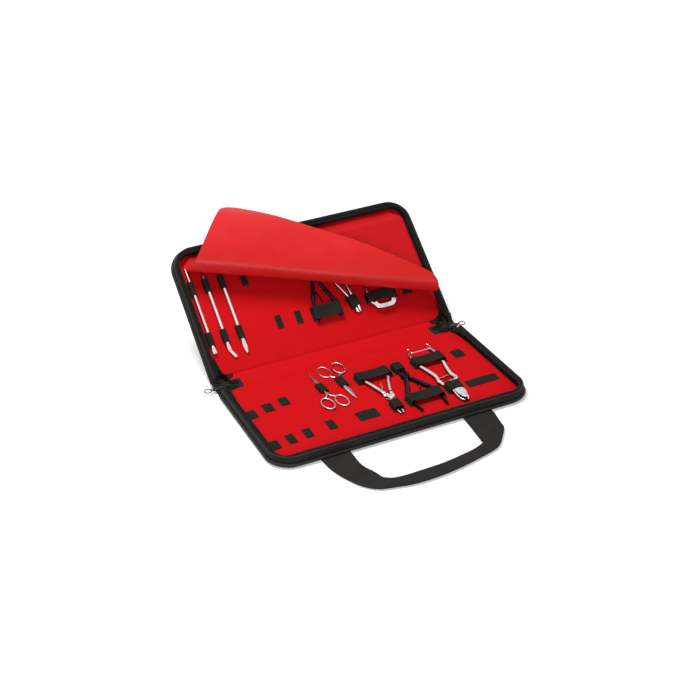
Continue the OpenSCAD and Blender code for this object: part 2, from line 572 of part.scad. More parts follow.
// Elastic bands over the tools, with inside sizes from the tools
wide_h = nipper_t;
module base_wide_bands() color(FABRIC) in_base() {
  arch_band([14.1, 45, 63, 40, wide_h, 0]);
  arch_band([46.4, 115, 133, 41, wide_h, 0]);
  arch_band([86.6, 45, 63, 37, wide_h, 0]);
}
module base_small_bands() color(FABRIC) in_base() {
  arch_band([9.4, 117.5, 135, 9.8, wide_h, 4]);
  arch_band([46.4, 43, 62, 10.6, wide_h, 0]);
  arch_band([84.9, 113.5, 130, 15.8, wide_h, 1]);
  arch_band([-23.2, 36, 59, 8.8, 2 * blade_t + lap_fit, 0]);
  arch_band([-49.4, 39, 59, 8.4, 2 * blade_t + lap_fit, -2]);
}
file_loop_w = 2 * file_r + 0.8;
module lid_bands() color(FABRIC) in_lid() {
  arch_band([8.1, 45, 63, 35, wide_h, 0]);
  arch_band([44.5, 49.2, 65.2, 10.4, wide_h, 13]);
  arch_band([82, 50, 63, 37, wide_h, 0]);
  for (x = file_x) {
    arch_band([x, 46, 64, file_loop_w, 2 * file_r, 0]);
    arch_band([x, 114, 132, file_loop_w, 2 * file_r, 0]);
  }
}

// Files with a round shaft: a cuticle pusher, a bent blade and a leaf shaped file
file_x = [-143, -124.5, -105];
shaft_z = panel_h + file_r + 0.05;
module shaft(x, v0, v1) translate([x, v1, shaft_z]) rotate([90, 0, 0]) cylinder(r = file_r, h = v1 - v0);
module cone_end(x, v, length, r_end, s) translate([x, v, shaft_z]) rotate([-90 * s, 0, 0])
  cylinder(r1 = file_r, r2 = r_end, h = length);
module flat_end(x, v, pts, t) translate([x, v, shaft_z - t / 2]) linear_extrude(t) polygon(pts);
module file_pusher() color(CHROME) in_lid() {
  shaft(file_x[0], 44, 140);
  flat_end(file_x[0], 36, [[-2.7, 0], [2.7, 0], [2.7, 5.5], [1.9, 8.5], [-1.9, 8.5], [-2.7, 5.5]], 2.6);
  cone_end(file_x[0], 140, 12, 0.7, 1);
}
module file_bent_blade() color(CHROME) in_lid() {
  shaft(file_x[1], 44, 135);
  flat_end(file_x[1], 26, [[3.4, 0], [6.6, 2.4], [2.6, 10], [2.4, 16], [1.9, 18.5], [-1.9, 18.5],
    [-2.4, 16], [-2.2, 10]], 1.6);
  cone_end(file_x[1], 135, 6, 0.8, 1);
}
module file_leaf() color(CHROME) in_lid() {
  shaft(file_x[2], 46, 132);
  flat_end(file_x[2], 28, [[0, 0], [1.8, 2.4], [2.7, 9], [2.1, 18.5], [-2.1, 18.5], [-2.7, 9],
    [-1.8, 2.4]], 1.4);
}

base_skin();
base_board();
base_lining();
base_wall();
base_piping();
base_zip_tape();
base_zip_coil();
base_tool_loops();
base_wide_bands();
base_small_bands();
handle_anchors();
scissors_curved_fixed();
scissors_curved_moving();
scissors_fine_fixed();
scissors_fine_moving();
cuticle_nipper_fixed();
cuticle_nipper_moving();
dark_nipper_fixed();
dark_nipper_moving();
toenail_nipper_fixed();
toenail_nipper_moving();
base_tool_pivots();
base_nipper_springs();
toenail_nipper_catch();
lid_skin();
lid_board();
lid_lining();
lid_wall();
lid_piping();
lid_zip_tape();
lid_zip_coil();
lid_tool_loops();
lid_bands();
file_pusher();
file_bent_blade();
file_leaf();
violet_nipper_fixed();
violet_nipper_moving();
corner_nipper_fixed();
corner_nipper_moving();
heavy_nipper_fixed();
heavy_nipper_moving();
lid_tool_pivots();
lid_nipper_springs();
heavy_nipper_catch();
flap_seam();
flap_sewn_part();
flap_free_part();
spine_skin();
spine_board();
spine_lining();
spine_gussets();
zip_end_tabs();
zip_stubs();
zip_slider_left();
zip_slider_right();
zip_pull_left();
zip_pull_right();
handle_strap();
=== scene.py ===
"""Manicure set case, open on its spine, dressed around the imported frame.

Lengths are in millimetres in the case's own half frames: x along the fold, v away from the fold, h up
from the outside of the half. A draft turns them into metres in the row frame when it makes its mesh.
"""

import json
import logging
import math
from dataclasses import dataclass, field
from enum import Enum
from typing import Iterable, Sequence

import bmesh
import bpy
import numpy as np
from mathutils import Matrix, Vector


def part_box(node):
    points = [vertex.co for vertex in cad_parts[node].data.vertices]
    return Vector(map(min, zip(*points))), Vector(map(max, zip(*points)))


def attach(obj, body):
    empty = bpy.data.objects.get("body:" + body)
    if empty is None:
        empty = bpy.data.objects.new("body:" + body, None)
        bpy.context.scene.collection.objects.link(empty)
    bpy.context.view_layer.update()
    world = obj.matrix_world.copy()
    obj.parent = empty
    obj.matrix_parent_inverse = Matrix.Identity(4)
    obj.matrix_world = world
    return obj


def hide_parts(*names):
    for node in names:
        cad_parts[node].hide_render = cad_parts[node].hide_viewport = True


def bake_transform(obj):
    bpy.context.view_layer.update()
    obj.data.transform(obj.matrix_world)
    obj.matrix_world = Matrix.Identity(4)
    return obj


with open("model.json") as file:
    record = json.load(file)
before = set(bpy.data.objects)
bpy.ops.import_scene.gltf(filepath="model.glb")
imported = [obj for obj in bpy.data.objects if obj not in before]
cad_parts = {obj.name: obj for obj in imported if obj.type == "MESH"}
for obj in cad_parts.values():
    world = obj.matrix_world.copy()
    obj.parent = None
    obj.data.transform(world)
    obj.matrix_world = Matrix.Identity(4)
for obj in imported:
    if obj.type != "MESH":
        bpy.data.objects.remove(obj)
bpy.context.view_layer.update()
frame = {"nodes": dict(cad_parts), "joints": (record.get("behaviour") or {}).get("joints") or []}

MM = 0.001
LOG = logging.getLogger("manicure_case")
Point = Sequence[float]
Array = np.ndarray
Colour = tuple[float, float, float]
Socket = bpy.types.NodeSocket


class Half(Enum):
    """The three flat parts of the case, which carry everything else."""

    BASE = "base"
    SPINE = "spine"
    LID = "lid"


def smoothstep(value: Array | float, low: float, high: float) -> Array | float:
    """Eases from 0 at low to 1 at high."""
    t = np.clip((value - low) / (high - low), 0.0, 1.0)
    return t * t * (3 - 2 * t)


def unit(vector: Array) -> Array:
    """The vector, or each row of it, at length 1."""
    return vector / np.maximum(np.linalg.norm(vector, axis=-1, keepdims=True), 1e-9)


def smooth_path(points: Sequence[Point], step: float, closed: bool = False) -> Array:
    """Runs a smooth curve through a few points.

    Args:
        points: The points that the curve passes.
        step: The rough distance between two points of the result.
        closed: Whether the curve runs back to its first point.

    Returns:
        The curve as rows of coordinates.
    """
    p = np.array(points, float)
    spans = len(p) if closed else len(p) - 1
    if closed:
        padded = np.vstack([p[-1], p, p[:2]])
    else:
        padded = np.vstack([2 * p[0] - p[1], p, 2 * p[-1] - p[-2]])
    curve = [p[0]]
    for i in range(spans):
        a, b, c, d = padded[i : i + 4]
        count = max(1, int(round(np.linalg.norm(c - b) / step)))
        for t in np.linspace(0, 1, count + 1)[1:]:
            point = 2 * b + (c - a) * t
            point = point + (2 * a - 5 * b + 4 * c - d) * t**2
            point = point + (3 * b - a - 3 * c + d) * t**3
            curve.append(0.5 * point)
    return np.array(curve[:-1] if closed else curve)


def along(path: Array) -> Array:
    """The distance from the start to each point of a path."""
    return np.concatenate([[0.0], np.cumsum(np.linalg.norm(np.diff(path, axis=0), axis=1))])


def resample(path: Array, distances: Array) -> Array:
    """The points of a path at the given distances from its start."""
    run = along(path)
    return np.column_stack([np.interp(distances, run, path[:, i]) for i in range(path.shape[1])])


def headings(path: Array, closed: bool = False) -> Array:
    """The direction of a path at each of its points."""
    if closed:
        return unit(np.roll(path, -1, axis=0) - np.roll(path, 1, axis=0))
    return unit(np.gradient(path, axis=0))


def spin(points: Array, degrees: float) -> Array:
    """Turns flat points about the origin."""
    c, s = math.cos(math.radians(degrees)), math.sin(math.radians(degrees))
    return np.column_stack([points[:, 0] * c - points[:, 1] * s, points[:, 0] * s + points[:, 1] * c])


def section(angles: Array, power: float) -> tuple[Array, Array]:
    """Points across and above a unit oval, squarer at a higher power."""
    across, above = np.cos(angles), np.sin(angles)
    return np.sign(across) * np.abs(across) ** (2 / power), np.sign(above) * np.abs(above) ** (2 / power)


def ripple(x: Array, v: Array, size: float) -> Array:
    """A gentle unevenness of stretched cloth, of about the given size."""
    waves = np.sin(x / 19 + 1.3) * np.sin(v / 23 + 0.4) + 0.6 * np.sin(x / 41 - v / 31 + 2.1)
    return size * (waves + 0.4 * np.sin(x / 11 + v / 13))


@dataclass(frozen=True)
class CaseSizes:
    """The driving sizes of the case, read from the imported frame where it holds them."""

    case_w: float
    half_d: float
    spine_w: float
    fold_h: float
    lid_tilt: float
    panel_h: float = 5.0
    board_h: float = 3.4
    corner_r: float = 30.0
    lining_inset: float = 9.5
    piping_r: float = 2.2

    @classmethod
    def from_frame(cls) -> "CaseSizes":
        """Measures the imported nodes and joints.

        Returns:
            The sizes in millimetres and radians.
        """
        low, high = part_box("base_piping")
        joints = {j["name"]: j for j in frame["joints"]}
        base_fold = Vector(joints["spine_fold"]["pos_m"]) / MM
        lid_fold = Vector(joints["lid_fold"]["pos_m"]) / MM
        closed = math.radians(joints["lid_fold"]["range_deg"][1])
        return cls(
            case_w=(high.x - low.x) / MM,
            half_d=base_fold.y - low.y / MM,
            spine_w=lid_fold.y - base_fold.y,
            fold_h=base_fold.z,
            lid_tilt=math.pi / 2 - closed,
        )


SIZES = CaseSizes.from_frame()


def to_row_frame(half: Half, points: Array) -> Array:
    """Turns points of a half's own frame into metres in the row frame.

    Args:
        half: The flat part whose frame the points are in.
        points: Rows of x, v and h in millimetres.

    Returns:
        Rows of x, y and z in metres.
    """
    x, v, h = points[:, 0], points[:, 1], points[:, 2]
    fold_y = SIZES.half_d / 2
    if half is Half.BASE:
        y, z = fold_y - v, h
    elif half is Half.SPINE:
        y, z = fold_y + v, h
    else:
        c, s = math.cos(SIZES.lid_tilt), math.sin(SIZES.lid_tilt)
        up = h - SIZES.fold_h
        y, z = fold_y + SIZES.spine_w + v * c - up * s, SIZES.fold_h + v * s + up * c
    return np.column_stack([x, y, z]) * MM


def row_point(half: Half, x: float, v: float, h: float) -> Vector:
    """One point of a half's frame as a vector in the row frame."""
    return Vector(to_row_frame(half, np.array([[x, v, h]], float))[0])


def lid_in_spine(x: float, v: float, h: float) -> Point:
    """A point of the lid's frame, given in the frame of the spine."""
    y, z = row_point(Half.LID, x, v, h).yz / MM
    return (x, y - SIZES.half_d / 2, z)


class NodeGraph:
    """A node tree, with short calls for the nodes that the finishes and the studio share."""

    def __init__(self, owner: bpy.types.Material | bpy.types.World) -> None:
        """Opens the node tree of a new material or world."""
        owner.use_nodes = True
        self.tree = owner.node_tree

    def surface(self, values: dict[str, object]) -> None:
        """Feeds inputs of the material's own principled shader."""
        for name, value in values.items():
            self.feed(self.tree.nodes["Principled BSDF"].inputs[name], value)

    def feed(self, socket: Socket, value: object) -> None:
        """Links a socket to another, or sets its value."""
        if isinstance(value, bpy.types.NodeSocket):
            self.tree.links.new(value, socket)
        else:
            socket.default_value = value

    def node(self, kind: str, inputs: dict | None = None, **settings: object) -> bpy.types.Node:
        """Adds a node.

        Args:
            kind: Blender's name for the type of node.
            inputs: Values or sockets for the node's inputs, by name or place.
            settings: Properties of the node itself.

        Returns:
            The new node.
        """
        made = self.tree.nodes.new(kind)
        for key, value in settings.items():
            setattr(made, key, value)
        for key, value in (inputs or {}).items():
            self.feed(made.inputs[key], value)
        return made

    def math(self, operation: str, a: object, b: object = 0.0) -> Socket:
        """One step of arithmetic on sockets or numbers."""
        return self.node("ShaderNodeMath", {0: a, 1: b}, operation=operation).outputs[0]

    def times(self, vector: Socket, factor: Point) -> Socket:
        """Multiplies a vector part by part."""
        return self.node("ShaderNodeVectorMath", {0: vector, 1: factor}, operation="MULTIPLY").outputs[0]

    def noise(self, vector: Socket, scale: float, detail: float = 2.0) -> Socket:
        """Smooth noise between 0 and 1."""
        inputs = {"Vector": vector, "Scale": scale, "Detail": detail}
        return self.node("ShaderNodeTexNoise", inputs).outputs["Fac"]

    def blend(self, factor: object, a: Colour, b: Colour) -> Socket:
        """Mixes two colours."""
        mixer = self.node("ShaderNodeMix", data_type="RGBA")
        self.feed(mixer.inputs["Factor"], factor)
        for socket, colour in ((mixer.inputs[6], a), (mixer.inputs[7], b)):
            self.feed(socket, colour if isinstance(colour, bpy.types.NodeSocket) else (*colour, 1.0))
        return mixer.outputs[2]

    def span(self, value: Socket, low: float, high: float, to_low: float, to_high: float) -> Socket:
        """Maps a value from one range to another, held at both ends."""
        inputs = {0: value, 1: low, 2: high, 3: to_low, 4: to_high}
        return self.node("ShaderNodeMapRange", inputs).outputs[0]

    def wave(self, coordinate: object, pitch: float) -> Socket:
        """A sine of the given pitch along a coordinate."""
        return self.math("SINE", self.math("MULTIPLY", coordinate, math.tau / pitch))

    def grain(self) -> tuple[Socket, Socket, Socket, Socket]:
        """The coordinates that a piece carries, as a vector and its three parts."""
        vector = self.node("ShaderNodeAttribute", attribute_name="grain").outputs["Vector"]
        parts = self.node("ShaderNodeSeparateXYZ", {0: vector})
        return vector, parts.outputs[0], parts.outputs[1], parts.outputs[2]

    def solid_grain(self) -> Socket:
        """Millimetre coordinates of a carried-over node."""
        source = self.node("ShaderNodeTexCoord").outputs["Object"]
        return self.times(source, (1 / MM, 1 / MM, 1 / MM))

    def seen(self) -> Socket:
        """Gives 1 to what the camera sees, also by reflection or through glass, and 0 to other light."""
        rays = self.node("ShaderNodeLightPath").outputs
        direct = self.math("MAXIMUM", rays["Is Camera Ray"], rays["Is Glossy Ray"])
        return self.math("MAXIMUM", direct, rays["Is Transmission Ray"])

    def bump(self, height: Socket, depth: float) -> Socket:
        """Turns a height between 0 and 1 into a relief of some millimetres."""
        inputs = {"Strength": 1.0, "Distance": depth * MM, "Height": height}
        return self.node("ShaderNodeBump", inputs).outputs[0]


class Relief(Enum):
    """The surface pattern of a cloth."""

    WEAVE = "weave"
    RIB = "rib"
    TWILL = "twill"
    LEATHER = "leather"
    BRAID = "braid"


class Finish:
    """What a surface is made of. Each finish builds its material once."""

    name: str

    def material(self) -> bpy.types.Material:
        """The finish's material, made at the first call."""
        return bpy.data.materials.get(self.name) or self.build()

    def build(self) -> bpy.types.Material:
        """Makes the node tree."""
        raise NotImplementedError


@dataclass(frozen=True)
class Cloth(Finish):
    """A woven, ribbed or grained sheet material."""

    name: str
    colour: Colour
    wear_and_relief_highlight: Colour
    relief: Relief
    pitch: float
    depth: float
    roughness: float
    specular: float
    reverse: Colour | None = None

    def pattern(self, graph: NodeGraph, vector: Socket, x: Socket, y: Socket) -> Socket:
        """Draws the height of the threads or the grain.

        Args:
            graph: The node tree to draw in.
            vector: The millimetre coordinates.
            x: Their first part, along the warp.
            y: Their second part, along the weft.

        Returns:
            A height of about 0 to 1.
        """
        if self.relief is Relief.LEATHER:
            cells = graph.node("ShaderNodeTexVoronoi", {"Vector": vector, "Scale": 1 / self.pitch})
            fine = graph.noise(vector, 2.4 / self.pitch, 3.0)
            pores = graph.math("MULTIPLY", cells.outputs["Distance"], 0.8)
            return graph.math("ADD", pores, graph.math("MULTIPLY", fine, 0.5))
        if self.relief is Relief.RIB:
            ribs = graph.math("ABSOLUTE", graph.wave(x, 2 * self.pitch))
            threads = graph.math("MULTIPLY", graph.wave(y, self.pitch * 0.55), 0.25)
            return graph.math("ADD", ribs, threads)
        if self.relief is Relief.WEAVE:
            crossed = graph.math("MULTIPLY", graph.wave(x, 2 * self.pitch), graph.wave(y, 2 * self.pitch))
            return graph.math("ADD", graph.math("MULTIPLY", crossed, 0.5), 0.5)
        zigzag = graph.math("PINGPONG", y, self.pitch * 2.5)
        slant = graph.math("ADD", x, zigzag)
        twill = graph.math("ABSOLUTE", graph.wave(slant, 2 * self.pitch))
        if self.relief is Relief.BRAID:
            return twill
        picks = graph.math("MULTIPLY", graph.math("ABSOLUTE", graph.wave(x, self.pitch)), 0.3)
        return graph.math("ADD", twill, picks)

    def build(self) -> bpy.types.Material:
        """Makes the cloth's colour, with a painted highlight on its raised relief, and its roughness and
        relief.
        """
        made = bpy.data.materials.new(self.name)
        graph = NodeGraph(made)
        vector, x, y, side = graph.grain()
        height = self.pattern(graph, vector, x, y)
        patches = graph.noise(vector, 0.045, 4.0)
        dust = graph.noise(vector, 0.9, 2.0)
        edge = graph.node("ShaderNodeNewGeometry").outputs["Pointiness"]
        rubbed = graph.math("MULTIPLY", graph.span(edge, 0.52, 0.60, 0.0, 0.5), dust)
        # Painted highlight: raised threads and grain take more of the lighter colour and the hollows stay
        # darker; the patches are real tone and the rubbed edges real wear.
        threads = graph.math("MULTIPLY", height, 0.22)
        lift = graph.math("ADD", threads, graph.span(patches, 0.3, 0.7, 0.0, 0.3))
        mixed = graph.blend(graph.math("ADD", lift, rubbed), self.colour, self.wear_and_relief_highlight)
        if self.reverse:
            mixed = graph.blend(graph.span(side, -0.3, 0.3, 1.0, 0.0), mixed, self.reverse)
        rough = graph.span(patches, 0.25, 0.75, self.roughness - 0.06, min(1.0, self.roughness + 0.06))
        graph.surface({
            "Base Color": mixed,
            "Roughness": rough,
            "Normal": graph.bump(height, self.depth),
            "Specular IOR Level": self.specular,
        })
        return made


@dataclass(frozen=True)
class Steel(Finish):
    """Ground and plated metal with fine marks from polishing, with a painted shade on its sides."""

    name: str
    colour: Colour
    shade: Colour
    painted_side_shade: Colour
    roughness: float
    brush: tuple[float, float, float] = (0.5, 0.05, 0.5)
    carried: bool = False

    def build(self) -> bpy.types.Material:
        """Makes the metal's colour with its painted side shade, its polish and brushing."""
        made = bpy.data.materials.new(self.name)
        graph = NodeGraph(made)
        vector = graph.solid_grain() if self.carried else graph.grain()[0]
        marks = graph.noise(graph.times(vector, self.brush), 4.0, 3.0)
        clouds = graph.noise(vector, 0.09, 3.0)
        tone = graph.span(clouds, 0.35, 0.7, 0.0, 1.0)
        face = graph.blend(tone, self.colour, self.shade)
        # Painted shade: where the grain's third part says a point faces sideways or down, the colour goes to
        # the darker side colour, standing in for shade and the reflections there.
        if not self.carried:
            low = graph.span(graph.grain()[3], 0.05, 0.8, 1.0, 0.0)
            face = graph.blend(low, face, self.painted_side_shade)
        smudges = graph.span(clouds, 0.3, 0.7, self.roughness * 0.75, self.roughness * 1.3)
        rough = graph.math("ADD", smudges, graph.math("MULTIPLY", marks, 0.06))
        graph.surface({
            "Base Color": face,
            "Roughness": rough,
            "Normal": graph.bump(marks, 0.012),
            "Metallic": 1.0,
        })
        return made


@dataclass(frozen=True)
class Moulded(Finish):
    """Nylon, thread or pressed board: a dull solid with a fine mottle."""

    name: str
    colour: Colour
    shade: Colour
    roughness: float
    specular: float
    mottle: float = 1.0
    carried: bool = False

    def build(self) -> bpy.types.Material:
        """Makes the solid's mottled colour and slight relief."""
        made = bpy.data.materials.new(self.name)
        graph = NodeGraph(made)
        vector = graph.solid_grain() if self.carried else graph.grain()[0]
        specks = graph.noise(vector, self.mottle, 4.0)
        rough = graph.span(specks, 0.3, 0.7, self.roughness - 0.05, self.roughness + 0.05)
        graph.surface({
            "Base Color": graph.blend(specks, self.colour, self.shade),
            "Roughness": rough,
            "Normal": graph.bump(specks, 0.03),
            "Specular IOR Level": self.specular,
        })
        return made


NYLON = Cloth(
    "woven_nylon", (0.0150, 0.0138, 0.0130), (0.032, 0.0295, 0.028), Relief.WEAVE,
    pitch=0.45, depth=0.05, roughness=0.62, specular=0.05,
)
PIPING = Cloth(
    "piping_cloth", (0.012, 0.011, 0.011), (0.03, 0.028, 0.027), Relief.WEAVE,
    pitch=0.35, depth=0.02, roughness=0.45, specular=0.16,
)
# Kept darker than the wall fabric so the zip edge beside the lining reads near black: partly the tape's own
# black, partly painted shade of the groove below it.
TAPE = Cloth(
    "zip_tape_braid", (0.0075, 0.0070, 0.0066), (0.018, 0.0165, 0.0155), Relief.BRAID,
    pitch=0.5, depth=0.06, roughness=0.7, specular=0.03,
)
ELASTIC = Cloth(
    "ribbed_elastic", (0.016, 0.0155, 0.0135), (0.032, 0.031, 0.027), Relief.RIB,
    pitch=0.55, depth=0.08, roughness=0.75, specular=0.02,
)
WEBBING = Cloth(
    "handle_webbing", (0.020, 0.0185, 0.0175), (0.042, 0.039, 0.036), Relief.TWILL,
    pitch=0.8, depth=0.12, roughness=0.7, specular=0.03,
)
LINING = Cloth(
    "lining_leatherette", (0.52, 0.0050, 0.0078), (0.60, 0.0075, 0.0105), Relief.LEATHER,
    pitch=0.7, depth=0.03, roughness=0.6, specular=0.03,
)
FLAP = Cloth(
    "flap_leatherette", (0.58, 0.014, 0.015), (0.66, 0.022, 0.023), Relief.LEATHER,
    pitch=0.8, depth=0.025, roughness=0.38, specular=0.16, reverse=(0.50, 0.0048, 0.0080),
)
# The pink tint of the file and scissor steel, and the red in the side colours of all three, is a painted
# reflection of the red lining.
CHROME = Steel("polished_steel", (0.76, 0.73, 0.72), (0.56, 0.53, 0.53), (0.16, 0.11, 0.11), 0.16)
FILE_STEEL = Steel("satin_steel", (0.82, 0.66, 0.65), (0.66, 0.48, 0.47), (0.32, 0.17, 0.17), 0.26)
SCISSOR_STEEL = Steel("scissor_steel", (0.74, 0.64, 0.62), (0.50, 0.41, 0.40), (0.08, 0.05, 0.05), 0.22)
DARK_STEEL = Steel(
    "dark_coated_steel", (0.005, 0.005, 0.010), (0.011, 0.011, 0.034), (0.003, 0.003, 0.004), 0.24,
)
VIOLET_STEEL = Steel(
    "violet_coated_steel", (0.007, 0.006, 0.009), (0.026, 0.019, 0.040), (0.003, 0.002, 0.004), 0.24,
)
PULL_METAL = Steel(
    "pull_gunmetal", (0.085, 0.085, 0.088), (0.035, 0.035, 0.038), (0.02, 0.02, 0.02), 0.38, carried=True,
)
PAINTED_ZIP = Moulded("zip_black_paint", (0.014, 0.014, 0.014), (0.030, 0.029, 0.029), 0.4, 0.35)
# Darker still for the same near black edge: partly the teeth's own black, partly painted shade.
TEETH = Moulded("nylon_teeth", (0.006, 0.006, 0.006), (0.016, 0.015, 0.015), 0.45, 0.15)
BLACK_THREAD = Moulded("black_thread", (0.020, 0.019, 0.018), (0.05, 0.047, 0.044), 0.7, 0.06, mottle=3.0)
RED_THREAD = Moulded("red_thread", (0.45, 0.006, 0.008), (0.62, 0.012, 0.015), 0.7, 0.04, mottle=3.0)
BOARD = Moulded(
    "pressed_board", (0.30, 0.24, 0.17), (0.42, 0.35, 0.26), 0.85, 0.1, mottle=0.8, carried=True,
)


class Draft:
    """Gathers the faces of one piece in a half's frame, with its grain coordinates beside them."""

    def __init__(self, half: Half) -> None:
        """Starts an empty piece in the frame of one half."""
        self.half = half
        self.points: list[Array] = []
        self.grain: list[Array] = []
        self.faces: list[tuple[int, ...]] = []
        self.count = 0

    def add(self, points: Array, faces: Iterable[Sequence[int]], grain: Array | None = None) -> None:
        """Adds points and the faces between them.

        Args:
            points: Rows of x, v and h.
            faces: Loops of point numbers, counted from the first of these points.
            grain: The same number of rows of texture coordinates, or the points themselves.
        """
        flat = np.asarray(points, float).reshape(-1, 3)
        self.points.append(flat)
        self.grain.append(flat if grain is None else np.asarray(grain, float).reshape(-1, 3))
        self.faces += [tuple(int(i) + self.count for i in loop) for loop in faces]
        self.count += len(flat)

    def loft(self, rings: Array, grain: Array | None = None, looped: bool = False) -> None:
        """Joins closed rings into a tube.

        Args:
            rings: Rings of points, all of the same length.
            grain: Texture coordinates in the same shape.
            looped: Whether the last ring joins the first. Both are closed with a face if it doesn't.
        """
        n, m = rings.shape[:2]
        faces = []
        for i in range(n if looped else n - 1):
            j = (i + 1) % n
            faces += [(i * m + k, i * m + (k + 1) % m, j * m + (k + 1) % m, j * m + k) for k in range(m)]
        if not looped:
            faces += [tuple(range(m))[::-1], tuple((n - 1) * m + k for k in range(m))]
        self.add(rings, faces, grain)

    def slab(self, top: Array, under: Array, grain: Array | None = None) -> None:
        """Closes the space between two grids of the same size.

        Args:
            top: The upper side, as rows of points.
            under: The lower side.
            grain: Texture coordinates for one side. Their third part then tells the two sides apart.
        """
        r, c = top.shape[:2]
        n = r * c
        faces = []
        for i in range(r - 1):
            for j in range(c - 1):
                a = i * c + j
                faces.append((a, a + 1, a + c + 1, a + c))
                faces.append((n + a, n + a + c, n + a + c + 1, n + a + 1))
        rim = [j for j in range(c)] + [i * c + c - 1 for i in range(1, r)]
        rim += [(r - 1) * c + j for j in range(c - 2, -1, -1)] + [i * c for i in range(r - 2, 0, -1)]
        faces += [(b, a, n + a, n + b) for a, b in zip(rim, rim[1:] + rim[:1])]
        both = None
        if grain is not None:
            both = np.concatenate([grain.reshape(-1, 3)] * 2)
            both[:n, 2] = 1.0
            both[n:, 2] = -1.0
        self.add(np.concatenate([top.reshape(-1, 3), under.reshape(-1, 3)]), faces, both)

    def cord(self, path: Array, radius: float | Array, sides: int = 10, looped: bool = False) -> None:
        """Runs a round cord or wire along a path in space.

        Args:
            path: The middle of the cord.
            radius: Its radius, or one for each point.
            sides: How many sides the round section has.
            looped: Whether the cord closes on itself.
        """
        ahead = headings(path, looped)
        side = unit(np.cross(ahead, np.array([0.03, 0.05, 1.0])))
        lift = np.cross(side, ahead)
        angles = np.arange(sides) * math.tau / sides
        r = np.broadcast_to(np.asarray(radius, float), (len(path),))[:, None, None]
        ring = side[:, None] * np.cos(angles)[None, :, None] + lift[:, None] * np.sin(angles)[None, :, None]
        grain = np.zeros(ring.shape)
        grain[..., 0] = along(path)[:, None]
        grain[..., 1] = angles[None]
        grain[..., 2] = np.sin(angles)[None]
        self.loft(path[:, None] + r * ring, grain, looped=looped)

    def bar(
        self,
        path: Array,
        half_width: Array,
        low: Array,
        high: Array,
        power: float = 3.0,
        sides: int = 14,
        round_ends: tuple[float, float] = (0.0, 0.0),
    ) -> None:
        """Lays a bar with a soft-edged section along a flat path.

        Args:
            path: Rows of x and v along the middle of the bar.
            half_width: Half of the bar's width at each point.
            low: The height of its underside at each point.
            high: The height of its top at each point.
            power: 2 for an oval section, more for a squarer one.
            sides: How many points the section has.
            round_ends: The length over which each end closes in a round.
        """
        ahead = headings(path)
        side = np.column_stack([-ahead[:, 1], ahead[:, 0]])
        run = along(path)
        close = np.ones(len(path))
        for length, left in ((round_ends[0], run), (round_ends[1], run[-1] - run)):
            if length > 0:
                close *= np.sqrt(np.clip(1 - np.clip(1 - left / length, 0, 0.985) ** 2, 0, 1))
        angles = (np.arange(sides) + 0.5) * math.tau / sides
        across, above = section(angles, power)
        middle, rise = (low + high) / 2, (high - low) / 2
        rings = np.zeros((len(path), sides, 3))
        reach = (half_width * close)[:, None] * across[None]
        rings[..., :2] = path[:, None] + reach[..., None] * side[:, None]
        rings[..., 2] = middle[:, None] + (rise * close)[:, None] * above[None]
        facing = np.broadcast_to(above[None], reach.shape)
        grain = np.stack([np.broadcast_to(run[:, None], reach.shape), reach, facing], axis=-1)
        self.loft(rings, grain)

    def disc(
        self, centre: Point, radius: float, low: float, high: float, bevel: float, sides: int = 36
    ) -> None:
        """Turns a round plate with bevelled edges.

        Args:
            centre: Its x and v.
            radius: Its outer radius.
            low: The height of its underside.
            high: The height of its top.
            bevel: The width of the bevel on both edges.
            sides: How many sides the round outline has.
        """
        angles = np.arange(sides) * math.tau / sides
        steps = [(0.15, low), (1 - bevel / radius, low), (1, low + bevel), (1, high - bevel)]
        steps += [(1 - bevel / radius, high), (0.15, high)]
        circle = np.column_stack([np.cos(angles), np.sin(angles)])
        rings = [np.column_stack([centre + radius * k * circle, np.full(sides, h)]) for k, h in steps]
        self.plate(np.array(rings))

    def plate(self, rings: Array) -> None:
        """Joins the six rings of a flat plate, from its underside up over its bevels."""
        grain = rings.copy()
        grain[..., 2] = np.array([-1.0, -1.0, -0.4, 0.2, 1.0, 1.0])[:, None]
        self.loft(rings, grain)

    def stitches(self, path: Array, length: float = 2.2, gap: float = 0.9, radius: float = 0.24) -> None:
        """Sets a row of short raised threads along a path in space.

        Args:
            path: The line that the needle follows.
            length: The length of one stitch.
            gap: The distance between two stitches.
            radius: The radius of the thread.
        """
        total = along(path)[-1]
        count = max(1, int(total // (length + gap)))
        lead = (total - count * (length + gap) + gap) / 2
        starts = lead + np.arange(count) * (length + gap)
        for start in starts:
            marks = resample(path, start + length * np.array([0.0, 0.15, 0.5, 0.85, 1.0]))
            marks[[0, -1], 2] -= radius * 1.2
            self.cord(marks, radius * np.array([0.55, 0.9, 1.0, 0.9, 0.55]), 6)

    def piece(self, name: str, finish: Finish, sharp: float = 45.0) -> bpy.types.Object:
        """Makes the mesh object, with no body yet.

        Args:
            name: The name of the piece.
            finish: What it is made of.
            sharp: The angle in degrees above which an edge stays crisp.

        Returns:
            The object, in the row frame.
        """
        mesh = bpy.data.meshes.new(name)
        mesh.from_pydata(to_row_frame(self.half, np.concatenate(self.points)).tolist(), [], self.faces)
        grain = mesh.attributes.new("grain", "FLOAT_VECTOR", "POINT")
        grain.data.foreach_set("vector", np.concatenate(self.grain).astype(np.float32).ravel())
        shape = bmesh.new()
        shape.from_mesh(mesh)
        bmesh.ops.recalc_face_normals(shape, faces=shape.faces)
        shape.to_mesh(mesh)
        shape.free()
        mesh.shade_smooth()
        mesh.set_sharp_from_angle(angle=math.radians(sharp))
        mesh.materials.append(finish.material())
        made = bpy.data.objects.new(name, mesh)
        bpy.context.scene.collection.objects.link(made)
        LOG.info("%s: %d faces", name, len(mesh.polygons))
        return made

